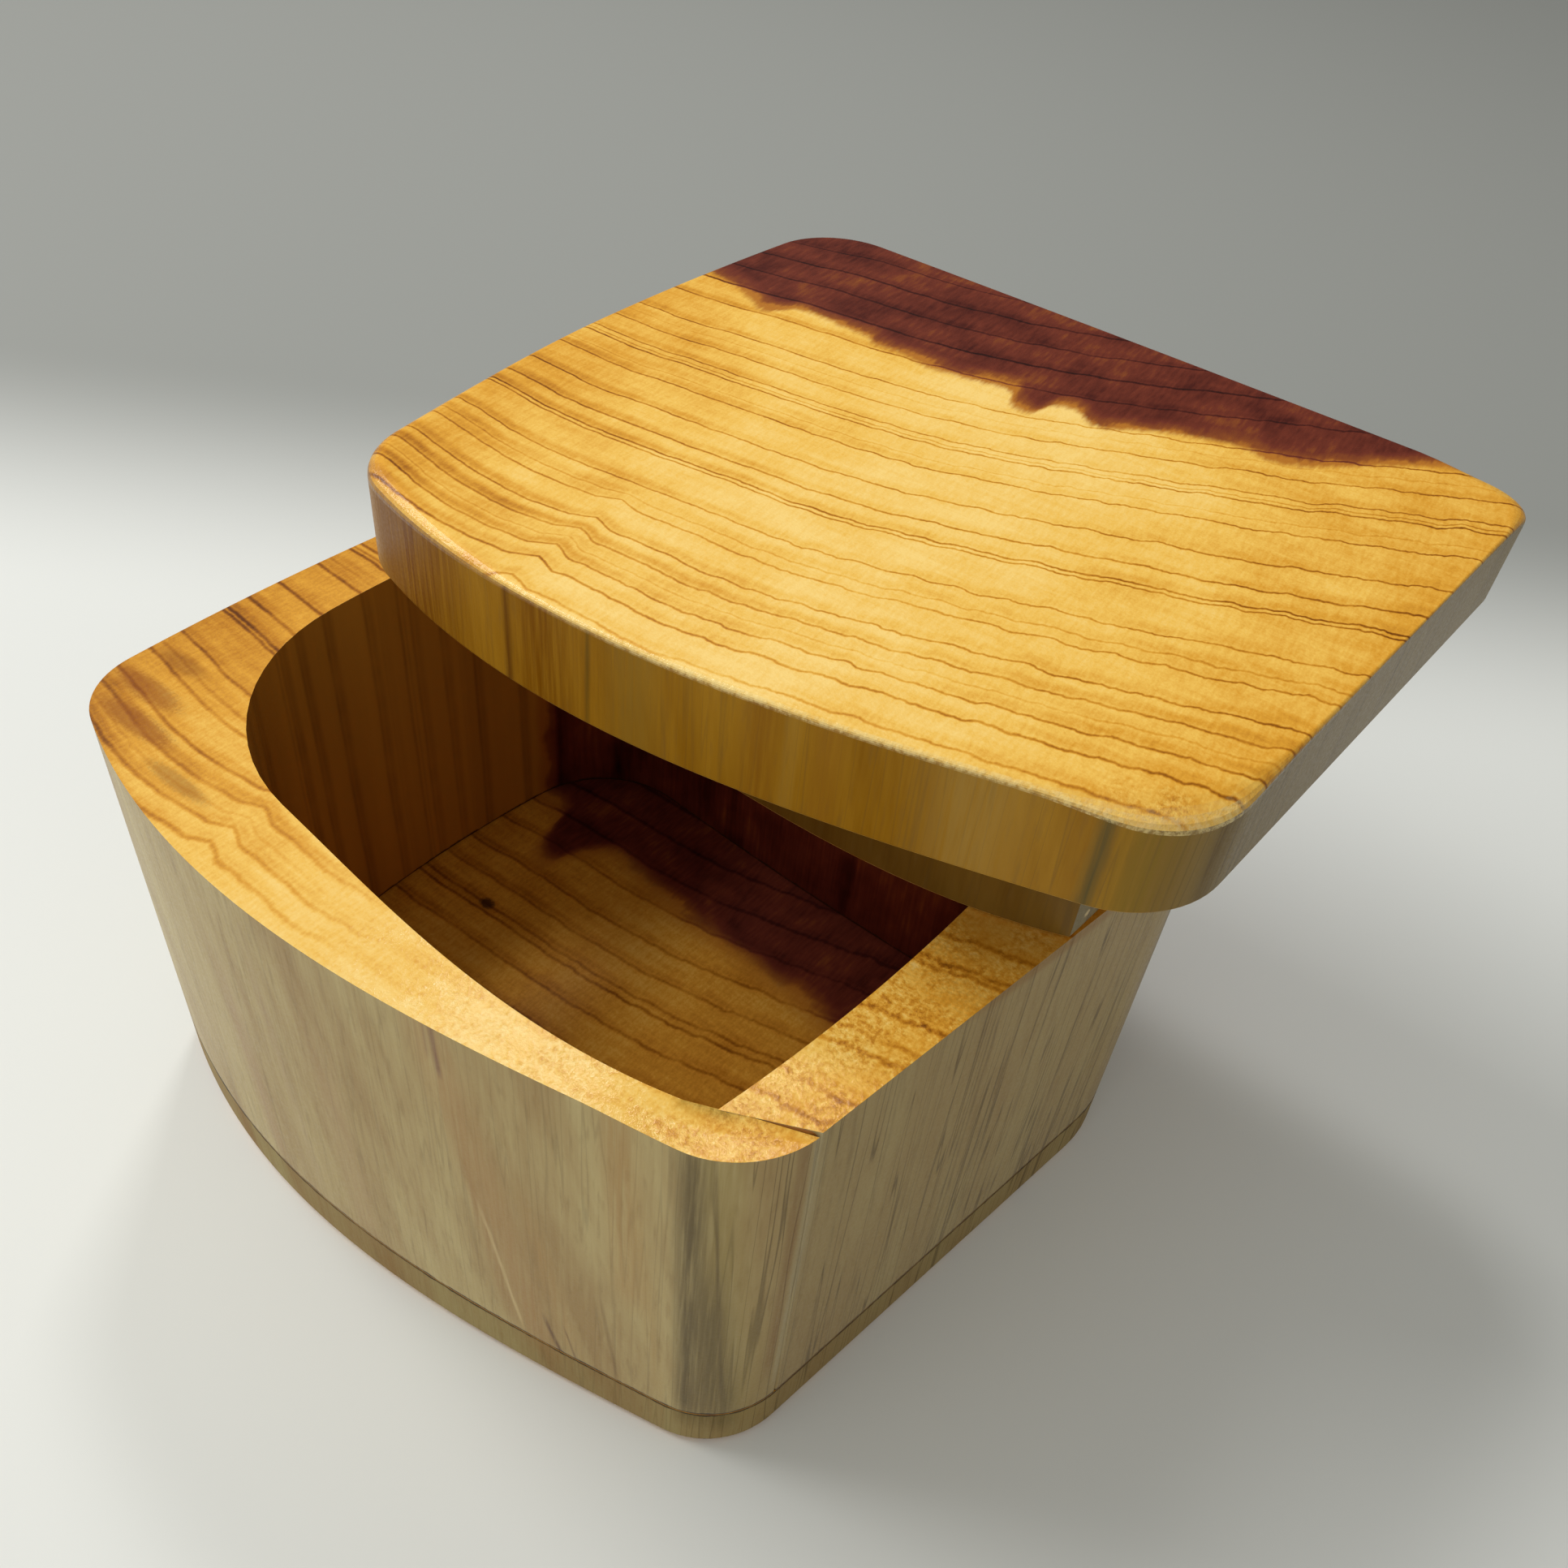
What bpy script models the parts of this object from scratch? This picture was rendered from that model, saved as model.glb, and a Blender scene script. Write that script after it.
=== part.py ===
"""Lidded keepsake box, sawn with a bandsaw from one short block of eastern red cedar.

The block's grain stands upright, so the rim, the floor and the lid's top are end grain. The maker
saws the block to its bowed plan, slices a lid off the top and a base off the bottom, and saws the
core out of what is left. The blade enters at the front right corner, and that saw kerf is closed
with glue. A slice of the core is glued under the lid as the plug that locates it. The lid lies
askew on the box, flat on its plug, as it was put down.

Metres, +Z up. The origin is on the underside of the base, at the centre of the rectangle that the
plan's corners are set out in. The long bowed front faces -Y.
"""

import math

import bmesh
import bpy
from mathutils import Vector
from mathutils.geometry import interpolate_bezier, intersect_line_line_2d

# Plan of the block: a rectangle of this size, in which the corners are set out
BLOCK_WIDTH = 0.1355
BLOCK_DEPTH = 0.1110
# Corners in the order front left, front right, back right, back left, as shares of that rectangle
BLOCK_CORNER_SHARES = ((0.0, 0.0), (0.879, 0.0), (1.0, 0.879), (0.053, 1.0))
FRONT_LEFT_RADIUS = 0.0125
FRONT_RIGHT_RADIUS = 0.0144
BACK_RIGHT_RADIUS = 0.0205
BACK_LEFT_RADIUS = 0.0123
# How far each side's curve handles stand out from its chord, near its start and near its end
FRONT_BOW_LEFT = 0.0195
FRONT_BOW_RIGHT = 0.0093
BACK_BOW = 0.0008
LEFT_BOW_BACK = 0.0042
LEFT_BOW_FRONT = 0.0050

# Heights of the block's slices
BOX_HEIGHT = 0.0729
BASE_THICKNESS = 0.0089
LID_THICKNESS = 0.0150
PLUG_THICKNESS = 0.0147

# Walls round the sawn-out core, and where its corners lie as shares of those walls
FRONT_WALL = 0.0110
RIGHT_WALL = 0.0125
BACK_WALL = 0.0180
LEFT_WALL = 0.0105
CAVITY_CORNER_SHARES = ((1.286, 0.445), (-0.724, 0.336), (-1.704, -0.578), (0.852, -1.122))
CAVITY_FRONT_LEFT_RADIUS = 0.0323
CAVITY_BACK_RIGHT_RADIUS = 0.0060
CAVITY_BACK_LEFT_RADIUS = 0.0185
CAVITY_FRONT_BOW_LEFT = -0.0007
CAVITY_FRONT_BOW_RIGHT = 0.0110
CAVITY_RIGHT_BOW_FRONT = 0.0043
CAVITY_RIGHT_BOW_BACK = 0.0035
CAVITY_BACK_BOW = -0.0025
CAVITY_LEFT_BOW_BACK = 0.0055
CAVITY_LEFT_BOW_FRONT = 0.0062

# Entry kerf of the saw, from the cavity's sharp corner out to the front right, and its glue
KERF_WIDTH = 0.0006
KERF_ANGLE = math.radians(26.0)
KERF_GLUE_SHRINK = 0.0004
BASE_GLUE_THICKNESS = 0.0002
PLUG_GLUE_THICKNESS = 0.0002
PLUG_GLUE_INSET = 0.0006

# Lid: how it overhangs the box when shut, its own crisper back right corner, how loose its plug is,
# and how it lies askew
LID_OVERHANG = 0.0012
LID_BACK_RIGHT_RADIUS = 0.0063
PLUG_CLEARANCE = 0.0020
LID_SHIFT_RIGHT = 0.0149
LID_SHIFT_BACK = 0.0420
LID_TURN = math.radians(5.24)
SEAT_GAP = 0.0003

# Sanded arrises
RIM_ARRIS = 0.0012
FOOT_ARRIS = 0.0014
LID_TOP_ARRIS = 0.0015
LID_UNDER_ARRIS = 0.0004
PLUG_ARRIS = 0.0006
ROUND_ARRIS_SEGMENTS = 3
FINE_ARRIS_SEGMENTS = 1

# Facets of the outlines, and how far the cutters run past what they cut
PATH_STEPS = 241
SIDE_FACETS = 16
ARC_FACETS = 9
HANDLE_SHARES = (1.0 / 3.0, 2.0 / 3.0)
OVERRUN = 0.0030
SMOOTH_ANGLE = math.radians(30.0)

BASE_GLUE_TOP = BASE_THICKNESS + BASE_GLUE_THICKNESS

# Finishes: base colour, roughness
SAPWOOD_END_GRAIN = ((0.72, 0.42, 0.11), 0.38)
SAPWOOD_SIDE_GRAIN = ((0.52, 0.40, 0.20), 0.34)
LID_WOOD = ((0.75, 0.45, 0.13), 0.32)
PLUG_WOOD = ((0.62, 0.42, 0.14), 0.42)
DRIED_GLUE = ((0.16, 0.07, 0.03), 0.45)


def clear_scene():
    """Remove every object, mesh and material that the file opens with."""
    for item in list(bpy.data.objects):
        bpy.data.objects.remove(item, do_unlink=True)
    for block in (bpy.data.meshes, bpy.data.materials):
        for item in list(block):
            block.remove(item)


def moved_left(path, distance):
    """The path moved sideways, to the left of the way that it runs."""
    moved = []
    for index, point in enumerate(path):
        along = path[min(index + 1, len(path) - 1)] - path[max(index - 1, 0)]
        moved.append(point + Vector((-along.y, along.x)).normalized() * distance)
    return moved


def bowed_side(start, end, bow):
    """A side as one smooth curve, whose two handles stand out from its chord by bow."""
    chord = end - start
    outward = Vector((chord.y, -chord.x)).normalized()
    handles = [start.lerp(end, share) + outward * height for share, height in zip(HANDLE_SHARES, bow)]
    return [Vector(point[:2]) for point in interpolate_bezier(start, handles[0], handles[1], end, PATH_STEPS)]


def crossing(path, following):
    """Where two neighbouring sides cross, searched from their shared corner outwards."""
    for i in range(len(path) - 1, 0, -1):
        for j in range(len(following) - 1):
            point = intersect_line_line_2d(path[i - 1], path[i], following[j], following[j + 1])
            if point:
                return i, j, point
    return len(path) - 1, 0, path[-1]


def rounded_outline(corners, bows, radii, inset=0.0):
    """Closed outline of bowed sides with arcs at its corners, drawn in by inset.

    The corners run anticlockwise. Side k runs from corner k to the next one, and bows[k] is its bow.
    """
    count = len(corners)
    sides = []
    for k in range(count):
        side = bowed_side(corners[k], corners[(k + 1) % count], bows[k])
        sides.append(moved_left(side, inset))
    first, last, arcs = [0] * count, [0] * count, [[]] * count
    for k in range(count):
        following = (k + 1) % count
        radius = max(radii[following] - inset, 0.0)
        inner, inner_following = moved_left(sides[k], radius), moved_left(sides[following], radius)
        last[k], first[following], centre = crossing(inner, inner_following)
        if radius == 0.0:
            arcs[k] = [centre]
            continue
        out_of = sides[k][last[k]] - inner[last[k]]
        into = sides[following][first[following]] - inner_following[first[following]]
        start_angle = math.atan2(out_of.y, out_of.x)
        sweep = (math.atan2(into.y, into.x) - start_angle) % math.tau
        arcs[k] = [centre + Vector((math.cos(start_angle + sweep * step / ARC_FACETS),
                                    math.sin(start_angle + sweep * step / ARC_FACETS))) * radius
                   for step in range(ARC_FACETS + 1)]
    outline = []
    for k in range(count):
        stretch = [arcs[k - 1][-1]] + sides[k][first[k] + 1:last[k]] + [arcs[k][0]]
        outline += [stretch[round(step * (len(stretch) - 1) / SIDE_FACETS)] for step in range(1, SIDE_FACETS)]
        outline += arcs[k]
    return outline


def block_corners():
    """The plan's four corners, before they are rounded."""
    return [Vector(((across - 0.5) * BLOCK_WIDTH, (back - 0.5) * BLOCK_DEPTH))
            for across, back in BLOCK_CORNER_SHARES]


def block_outline(inset=0.0, back_right_radius=BACK_RIGHT_RADIUS):
    """Outline of the block, which the base, the wall and the lid share but for one corner."""
    bows = ((FRONT_BOW_LEFT, FRONT_BOW_RIGHT), (0.0, 0.0), (BACK_BOW, BACK_BOW), (LEFT_BOW_BACK, LEFT_BOW_FRONT))
    radii = (FRONT_LEFT_RADIUS, FRONT_RIGHT_RADIUS, back_right_radius, BACK_LEFT_RADIUS)
    return rounded_outline(block_corners(), bows, radii, inset)


def cavity_corners():
    """The core's four corners, each in from the block's corner by its own two walls."""
    walls = ((LEFT_WALL, FRONT_WALL), (RIGHT_WALL, FRONT_WALL), (RIGHT_WALL, BACK_WALL), (LEFT_WALL, BACK_WALL))
    return [corner + Vector((shares[0] * wall[0], shares[1] * wall[1]))
            for corner, shares, wall in zip(block_corners(), CAVITY_CORNER_SHARES, walls)]


def cavity_outline(inset=0.0):
    """Outline of the sawn-out core, sharp at the front right corner where the blade came in."""
    bows = ((CAVITY_FRONT_BOW_LEFT, CAVITY_FRONT_BOW_RIGHT), (CAVITY_RIGHT_BOW_FRONT, CAVITY_RIGHT_BOW_BACK),
            (CAVITY_BACK_BOW, CAVITY_BACK_BOW), (CAVITY_LEFT_BOW_BACK, CAVITY_LEFT_BOW_FRONT))
    radii = (CAVITY_FRONT_LEFT_RADIUS, 0.0, CAVITY_BACK_RIGHT_RADIUS, CAVITY_BACK_LEFT_RADIUS)
    return rounded_outline(cavity_corners(), bows, radii, inset)


def kerf_outline():
    """Plan of the saw kerf: a thin straight strip from inside the cavity to outside the block."""
    corner = cavity_corners()[1]
    along = Vector((math.cos(KERF_ANGLE), math.sin(KERF_ANGLE)))
    half_across = Vector((-along.y, along.x)) * (KERF_WIDTH / 2.0)
    inner = corner - along * OVERRUN
    outer = corner + along * (RIGHT_WALL + OVERRUN)
    return [inner - half_across, outer - half_across, outer + half_across, inner + half_across]


def prism(outline, bottom, top):
    """A bmesh of the outline, raised from bottom to top."""
    shape = bmesh.new()
    floor = shape.faces.new([shape.verts.new((point.x, point.y, bottom)) for point in outline])
    raised = bmesh.ops.extrude_face_region(shape, geom=[floor])["geom"]
    lifted = [item for item in raised if isinstance(item, bmesh.types.BMVert)]
    bmesh.ops.translate(shape, verts=lifted, vec=(0.0, 0.0, top - bottom))
    bmesh.ops.recalc_face_normals(shape, faces=shape.faces)
    return shape


def soften(shape, height, arris, segments):
    """Round the arris that runs all the way round the shape at one height."""
    edges = [edge for edge in shape.edges if all(abs(vert.co.z - height) < arris / 2.0 for vert in edge.verts)]
    bmesh.ops.bevel(shape, geom=edges, offset=arris, offset_type="OFFSET", segments=segments,
                    profile=0.5, affect="EDGES", material=-1)


def finish(name, colour, roughness):
    """A plain finish of one colour and roughness."""
    material = bpy.data.materials.new(name)
    material.use_nodes = True
    shader = material.node_tree.nodes["Principled BSDF"]
    shader.inputs["Base Color"].default_value = (*colour, 1.0)
    shader.inputs["Roughness"].default_value = roughness
    shader.inputs["Metallic"].default_value = 0.0
    material.diffuse_color = (*colour, 1.0)
    return material


def add_object(name, shape, look=None, parent=None):
    """Turn a bmesh into a named object with its own finish."""
    mesh = bpy.data.meshes.new(name)
    shape.to_mesh(mesh)
    shape.free()
    mesh.shade_smooth()
    mesh.set_sharp_from_angle(angle=SMOOTH_ANGLE)
    piece = bpy.data.objects.new(name, mesh)
    bpy.context.collection.objects.link(piece)
    if look:
        mesh.materials.append(finish(name + "_finish", *look))
    piece.parent = parent
    return piece


def add_cutter(name, outline, bottom, top):
    """A hidden solid that only shapes others."""
    cutter = add_object(name, prism(outline, bottom, top))
    cutter.hide_render = True
    cutter.display_type = "WIRE"
    return cutter


def shape_by(piece, cutter, operation):
    """Cut the piece by another solid, or keep only what lies inside it."""
    modifier = piece.modifiers.new(cutter.name, "BOOLEAN")
    modifier.operation = operation
    modifier.solver = "EXACT"
    modifier.object = cutter


def build_box():
    """Base, wall and the glue that holds them together."""
    cavity = add_cutter("cavity_cutter", cavity_outline(), BASE_THICKNESS - OVERRUN, BOX_HEIGHT + OVERRUN)
    kerf = add_cutter("kerf_cutter", kerf_outline(), BASE_THICKNESS - OVERRUN, BOX_HEIGHT + OVERRUN)
    block = add_cutter("block_guide", block_outline(), BASE_THICKNESS - OVERRUN, BOX_HEIGHT + OVERRUN)

    base = prism(block_outline(), 0.0, BASE_THICKNESS)
    soften(base, 0.0, FOOT_ARRIS, ROUND_ARRIS_SEGMENTS)
    add_object("base_panel", base, SAPWOOD_SIDE_GRAIN)

    glue_line = add_object("base_glue_line", prism(block_outline(), BASE_THICKNESS, BASE_GLUE_TOP), DRIED_GLUE)
    shape_by(glue_line, cavity, "DIFFERENCE")

    wall_shape = prism(block_outline(), BASE_GLUE_TOP, BOX_HEIGHT)
    soften(wall_shape, BOX_HEIGHT, RIM_ARRIS, ROUND_ARRIS_SEGMENTS)
    wall = add_object("box_wall", wall_shape, SAPWOOD_END_GRAIN)
    shape_by(wall, cavity, "DIFFERENCE")
    shape_by(wall, kerf, "DIFFERENCE")

    seam_top = BOX_HEIGHT - RIM_ARRIS - KERF_GLUE_SHRINK
    seam = add_object("kerf_glue_seam", prism(kerf_outline(), BASE_GLUE_TOP, seam_top), DRIED_GLUE)
    shape_by(seam, block, "INTERSECT")
    shape_by(seam, cavity, "DIFFERENCE")


def build_lid():
    """Lid panel, its plug and the glue between them, set down askew on the rim."""
    seat = bpy.data.objects.new("lid_lift", None)
    bpy.context.collection.objects.link(seat)
    seat.location = (LID_SHIFT_RIGHT, LID_SHIFT_BACK, BOX_HEIGHT + SEAT_GAP)
    seat.rotation_euler = (0.0, 0.0, LID_TURN)

    plug = prism(cavity_outline(PLUG_CLEARANCE), 0.0, PLUG_THICKNESS)
    soften(plug, 0.0, PLUG_ARRIS, FINE_ARRIS_SEGMENTS)
    add_object("lid_plug", plug, PLUG_WOOD, seat)

    glue_top = PLUG_THICKNESS + PLUG_GLUE_THICKNESS
    glue = prism(cavity_outline(PLUG_CLEARANCE + PLUG_GLUE_INSET), PLUG_THICKNESS, glue_top)
    add_object("plug_glue_film", glue, DRIED_GLUE, seat)

    lid_top = glue_top + LID_THICKNESS
    lid = prism(block_outline(-LID_OVERHANG, LID_BACK_RIGHT_RADIUS), glue_top, lid_top)
    soften(lid, lid_top, LID_TOP_ARRIS, ROUND_ARRIS_SEGMENTS)
    soften(lid, glue_top, LID_UNDER_ARRIS, FINE_ARRIS_SEGMENTS)
    add_object("lid_panel", lid, LID_WOOD, seat)


def main():
    clear_scene()
    build_box()
    build_lid()


main()
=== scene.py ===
"""Looks of a lidded keepsake box, sawn with a bandsaw from one short block of eastern red cedar.

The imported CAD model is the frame, and each of its pieces is replaced here by a finer one in the same place.
The grain stands upright, so the rim, the cavity's floor and the lid's top are end grain. Lid, plug and wall
share one table of the tree's growth rings, in the plan of the uncut block, and the base has its own. On lid
and plug the pattern is turned and shifted as the lid lies. Sizes are in millimetres unless a name says
otherwise; the frame and all meshes are in metres, +Z up, with the long bowed front facing -Y.
"""

from __future__ import annotations

import logging
import math
from collections.abc import Callable, Sequence
from dataclasses import dataclass, replace
from enum import Enum

import bmesh
import bpy
from mathutils import Matrix, Vector
from mathutils.geometry import interpolate_bezier, intersect_line_line_2d

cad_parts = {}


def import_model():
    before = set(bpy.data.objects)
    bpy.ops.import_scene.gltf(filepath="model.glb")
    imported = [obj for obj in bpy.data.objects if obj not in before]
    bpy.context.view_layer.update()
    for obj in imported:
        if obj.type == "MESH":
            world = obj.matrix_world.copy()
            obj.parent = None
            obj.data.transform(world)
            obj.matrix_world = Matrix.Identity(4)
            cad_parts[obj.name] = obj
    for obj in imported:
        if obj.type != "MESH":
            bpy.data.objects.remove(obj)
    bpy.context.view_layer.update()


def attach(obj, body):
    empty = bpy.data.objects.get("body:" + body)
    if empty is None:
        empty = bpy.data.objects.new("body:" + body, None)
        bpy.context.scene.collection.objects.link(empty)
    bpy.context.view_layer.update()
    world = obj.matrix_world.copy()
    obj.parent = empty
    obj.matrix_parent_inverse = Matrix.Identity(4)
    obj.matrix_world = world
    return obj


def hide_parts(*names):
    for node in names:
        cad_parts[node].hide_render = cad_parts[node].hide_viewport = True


log = logging.getLogger("cedar_box")

Socket = bpy.types.NodeSocket
Triple = tuple[float, float, float]
Curve = tuple[tuple[float, float], ...]

MM = 0.001

# Heights of the block's slices, as they stand in the frame
BASE_TOP = 8.9
WALL_BOTTOM = 9.1
RIM_HEIGHT = 72.9
PLUG_BOTTOM = 73.2
PLUG_TOP = 87.9
LID_BOTTOM = 88.1
LID_TOP = 103.1
# How the lid lies askew, and how far it stands above its place in the uncut block
LID_SHIFT = (14.9, 42.0)
LID_TURN = math.radians(5.24)
LID_RAISED = LID_BOTTOM - RIM_HEIGHT
# How far sanding takes the wood in from the solids, and how near two heights count as one
SKIN = 0.05
SAME_HEIGHT = 0.01
# Upward part of a face's direction, below which it is upright and above which it is level
UPRIGHT, LEVEL = 0.5, 0.99
# Angle past which an edge shades as a corner
SHARP_ANGLE = math.radians(40.0)


def linear(hex_colour: str) -> tuple[float, float, float, float]:
    """Turn an sRGB hex colour into the linear colour that shaders use.

    Args:
        hex_colour: Six hex digits after a hash sign, such as "#F2C36B".

    Returns:
        Red, green and blue in linear light, and an alpha of 1.
    """
    parts = [int(hex_colour[i : i + 2], 16) / 255.0 for i in (1, 3, 5)]
    red, green, blue = (c / 12.92 if c <= 0.04045 else ((c + 0.055) / 1.055) ** 2.4 for c in parts)
    return red, green, blue, 1.0


def eased(share: float) -> float:
    """Ease a share in and out between 0 and 1."""
    return share * share * (3.0 - 2.0 * share)


# Kinds of node, and settings that many of them share
MATH, VECTOR, RANGE, MIX = "ShaderNodeMath", "ShaderNodeVectorMath", "ShaderNodeMapRange", "ShaderNodeMix"
NOISE, RAMP, COORDS = "ShaderNodeTexNoise", "ShaderNodeValToRGB", "ShaderNodeTexCoord"
SEPARATE, COMBINE, MAPPING = "ShaderNodeSeparateXYZ", "ShaderNodeCombineXYZ", "ShaderNodeMapping"
BUMP, SHADER, OUTPUT = "ShaderNodeBump", "ShaderNodeBsdfPrincipled", "ShaderNodeOutputMaterial"
PLUS, LESS, TIMES, TIMES_PLUS, DIVIDED, MAGNITUDE, GREATEST, DOT = (
    {"operation": name}
    for name in (
        "ADD", "SUBTRACT", "MULTIPLY", "MULTIPLY_ADD", "DIVIDE", "ABSOLUTE", "MAXIMUM", "DOT_PRODUCT"
    )
)
SMOOTH = {"interpolation_type": "SMOOTHSTEP"}
COLOURS = {"out": 2, "data_type": "RGBA"}


def add_node(
    tree: bpy.types.NodeTree,
    kind: str,
    sockets: dict[int | str, object],
    out: int | str = 0,
    stops: Sequence[tuple[float, str]] = (),
    curve: Sequence[tuple[float, float]] = (),
    **settings: object,
) -> Socket | None:
    """Add one node with its settings, its inputs and its links.

    Args:
        tree: The material's or the world's node tree.
        kind: The node's type name.
        sockets: For each input, by its name or place, a value or the output that feeds it.
        out: The output that is wanted.
        stops: Places and hex colours of a colour ramp.
        curve: Points of a curve, each from 0 to 1.
        **settings: The node's own properties.

    Returns:
        The wanted output, or None where the node has no outputs.
    """
    node = tree.nodes.new(kind)
    for name, value in settings.items():
        setattr(node, name, value)
    for key, value in sockets.items():
        if isinstance(value, Socket):
            tree.links.new(value, node.inputs[key])
        else:
            node.inputs[key].default_value = value
    if stops:
        elements = node.color_ramp.elements
        while len(elements) > 1:
            elements.remove(elements[-1])
        for index, (place, colour) in enumerate(stops):
            element = elements[0] if index == 0 else elements.new(place)
            element.position = place
            element.color = linear(colour)
    if curve:
        points = node.mapping.curves[0].points
        points[0].location, points[1].location = curve[0], curve[-1]
        for point in curve[1:-1]:
            points.new(*point)
        node.mapping.update()
    return node.outputs[out] if node.outputs else None


def new_material(name: str) -> bpy.types.Material:
    """Start a material with an empty node tree.

    Args:
        name: The material's name.

    Returns:
        The empty material.
    """
    material = bpy.data.materials.new(name)
    material.use_nodes = True
    material.node_tree.nodes.clear()
    return material


# Plan


def moved_left(path: Sequence[Vector], distance: float) -> list[Vector]:
    """Move a path sideways, to the left of the way that it runs.

    Args:
        path: The path's points.
        distance: How far it moves.

    Returns:
        The moved points.
    """
    moved = []
    for index, point in enumerate(path):
        along = path[min(index + 1, len(path) - 1)] - path[max(index - 1, 0)]
        moved.append(point + Vector((-along.y, along.x)).normalized() * distance)
    return moved


def crossing(path: Sequence[Vector], following: Sequence[Vector]) -> tuple[int, int, Vector]:
    """Find where two neighbouring sides cross, searched from their shared corner outwards.

    Args:
        path: The side that ends at the corner.
        following: The side that starts there.

    Returns:
        The crossing's place along each of the two, and the point itself.
    """
    for i in range(len(path) - 1, 0, -1):
        for j in range(len(following) - 1):
            point = intersect_line_line_2d(path[i - 1], path[i], following[j], following[j + 1])
            if point:
                return i, j, point
    return len(path) - 1, 0, path[-1]


@dataclass(frozen=True)
class Plan:
    """A closed outline of bowed sides with rounded corners, drawn anticlockwise.

    Attributes:
        corners: Where the sides' chords meet; side k runs from corner k to the next.
        bows: How far each side's two curve handles stand out from its chord.
        radii: The rounding of each corner.
        path_steps: Points that a side is worked out with.
        side_facets: Facets that it is then drawn with.
        arc_facets: Facets of a corner's rounding.
    """

    corners: Curve
    bows: Curve
    radii: tuple[float, ...]
    path_steps: int = 361
    side_facets: int = 40
    arc_facets: int = 14

    def outline(self, inset: float = 0.0) -> list[Vector]:
        """Draw the outline.

        Args:
            inset: How far it is drawn in on all sides.

        Returns:
            The outline's points, anticlockwise.
        """
        count = len(self.corners)
        corners = [Vector(corner) for corner in self.corners]
        sides = []
        for k, corner in enumerate(corners):
            end = corners[(k + 1) % count]
            chord = end - corner
            outward = Vector((chord.y, -chord.x)).normalized()
            handles = [corner.lerp(end, (i + 1) / 3.0) + outward * self.bows[k][i] for i in range(2)]
            bezier = interpolate_bezier(corner, handles[0], handles[1], end, self.path_steps)
            sides.append(moved_left([Vector(point[:2]) for point in bezier], inset))
        first, last, arcs = [0] * count, [0] * count, [[]] * count
        for k in range(count):
            after = (k + 1) % count
            radius = max(self.radii[after] - inset, 0.0)
            inner, inner_after = moved_left(sides[k], radius), moved_left(sides[after], radius)
            last[k], first[after], centre = crossing(inner, inner_after)
            if radius == 0.0:
                arcs[k] = [centre]
                continue
            out_of = sides[k][last[k]] - inner[last[k]]
            into = sides[after][first[after]] - inner_after[first[after]]
            start = math.atan2(out_of.y, out_of.x)
            sweep = (math.atan2(into.y, into.x) - start) % math.tau
            turns = [start + sweep * step / self.arc_facets for step in range(self.arc_facets + 1)]
            arcs[k] = [centre + Vector((math.cos(turn), math.sin(turn))) * radius for turn in turns]
        points = []
        for k in range(count):
            stretch = [arcs[k - 1][-1]] + sides[k][first[k] + 1 : last[k]] + [arcs[k][0]]
            steps = range(1, self.side_facets)
            points += [stretch[round(step * (len(stretch) - 1) / self.side_facets)] for step in steps]
            points += arcs[k]
        return points


# The block's plan, with one corner crisper on the lid, and the sawn-out core's, sharp at the blade's entry
BODY_PLAN = Plan(
    corners=((-67.75, -55.5), (51.3545, -55.5), (67.75, 42.069), (-60.5685, 55.5)),
    bows=((19.5, 9.3), (0.0, 0.0), (0.8, 0.8), (4.2, 5.0)),
    radii=(12.5, 14.4, 20.5, 12.3),
)
LID_PLAN = replace(BODY_PLAN, radii=(12.5, 14.4, 6.3, 12.3))
CORE_PLAN = Plan(
    corners=((-54.247, -50.605), (42.3045, -51.804), (46.45, 31.665), (-51.6225, 35.304)),
    bows=((-0.7, 11.0), (4.3, 3.5), (-2.5, -2.5), (5.5, 6.2)),
    radii=(32.3, 0.0, 6.0, 18.5),
)
# The core's corner where the blade came in
ENTRY = Vector(CORE_PLAN.corners[1])


# Meshes


class Run(Enum):
    """The stretch of the wall's plan that an edge lies on."""

    OUTSIDE = 1
    CAVITY = 2
    KERF = 3


def raised(outline: Sequence[Vector], bottom: float, top: float) -> bmesh.types.BMesh:
    """Raise an outline into a solid.

    Args:
        outline: The plan's points, anticlockwise.
        bottom: Height of the underside.
        top: Height of the top.

    Returns:
        The solid, in metres.
    """
    shape = bmesh.new()
    floor = shape.faces.new([shape.verts.new((point.x * MM, point.y * MM, bottom * MM)) for point in outline])
    lifted = bmesh.ops.extrude_face_region(shape, geom=[floor])["geom"]
    verts = [item for item in lifted if isinstance(item, bmesh.types.BMVert)]
    bmesh.ops.translate(shape, verts=verts, vec=(0.0, 0.0, (top - bottom) * MM))
    bmesh.ops.recalc_face_normals(shape, faces=shape.faces)
    return shape


def edges_at(
    shape: bmesh.types.BMesh,
    height: float,
    wanted: Callable[[bmesh.types.BMEdge], bool] = lambda edge: True,
) -> list[bmesh.types.BMEdge]:
    """List the edges that lie at one height.

    Args:
        shape: The solid.
        height: The height to look at.
        wanted: A further test for each edge.

    Returns:
        The edges.
    """
    level = [e for e in shape.edges if all(abs(v.co.z - height * MM) < SAME_HEIGHT * MM for v in e.verts)]
    return [edge for edge in level if wanted(edge)]


def soften(
    shape: bmesh.types.BMesh, edges: Sequence[bmesh.types.BMEdge], arris: float, facets: int
) -> None:
    """Round an arris.

    Args:
        shape: The solid.
        edges: The edges to round.
        arris: How far the rounding reaches to either side.
        facets: Its facets.
    """
    bmesh.ops.bevel(
        shape,
        geom=[edge for edge in edges if edge.is_valid],
        offset=arris * MM,
        offset_type="OFFSET",
        segments=facets,
        profile=0.5,
        affect="EDGES",
        material=-1,
        clamp_overlap=True,
    )


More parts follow.
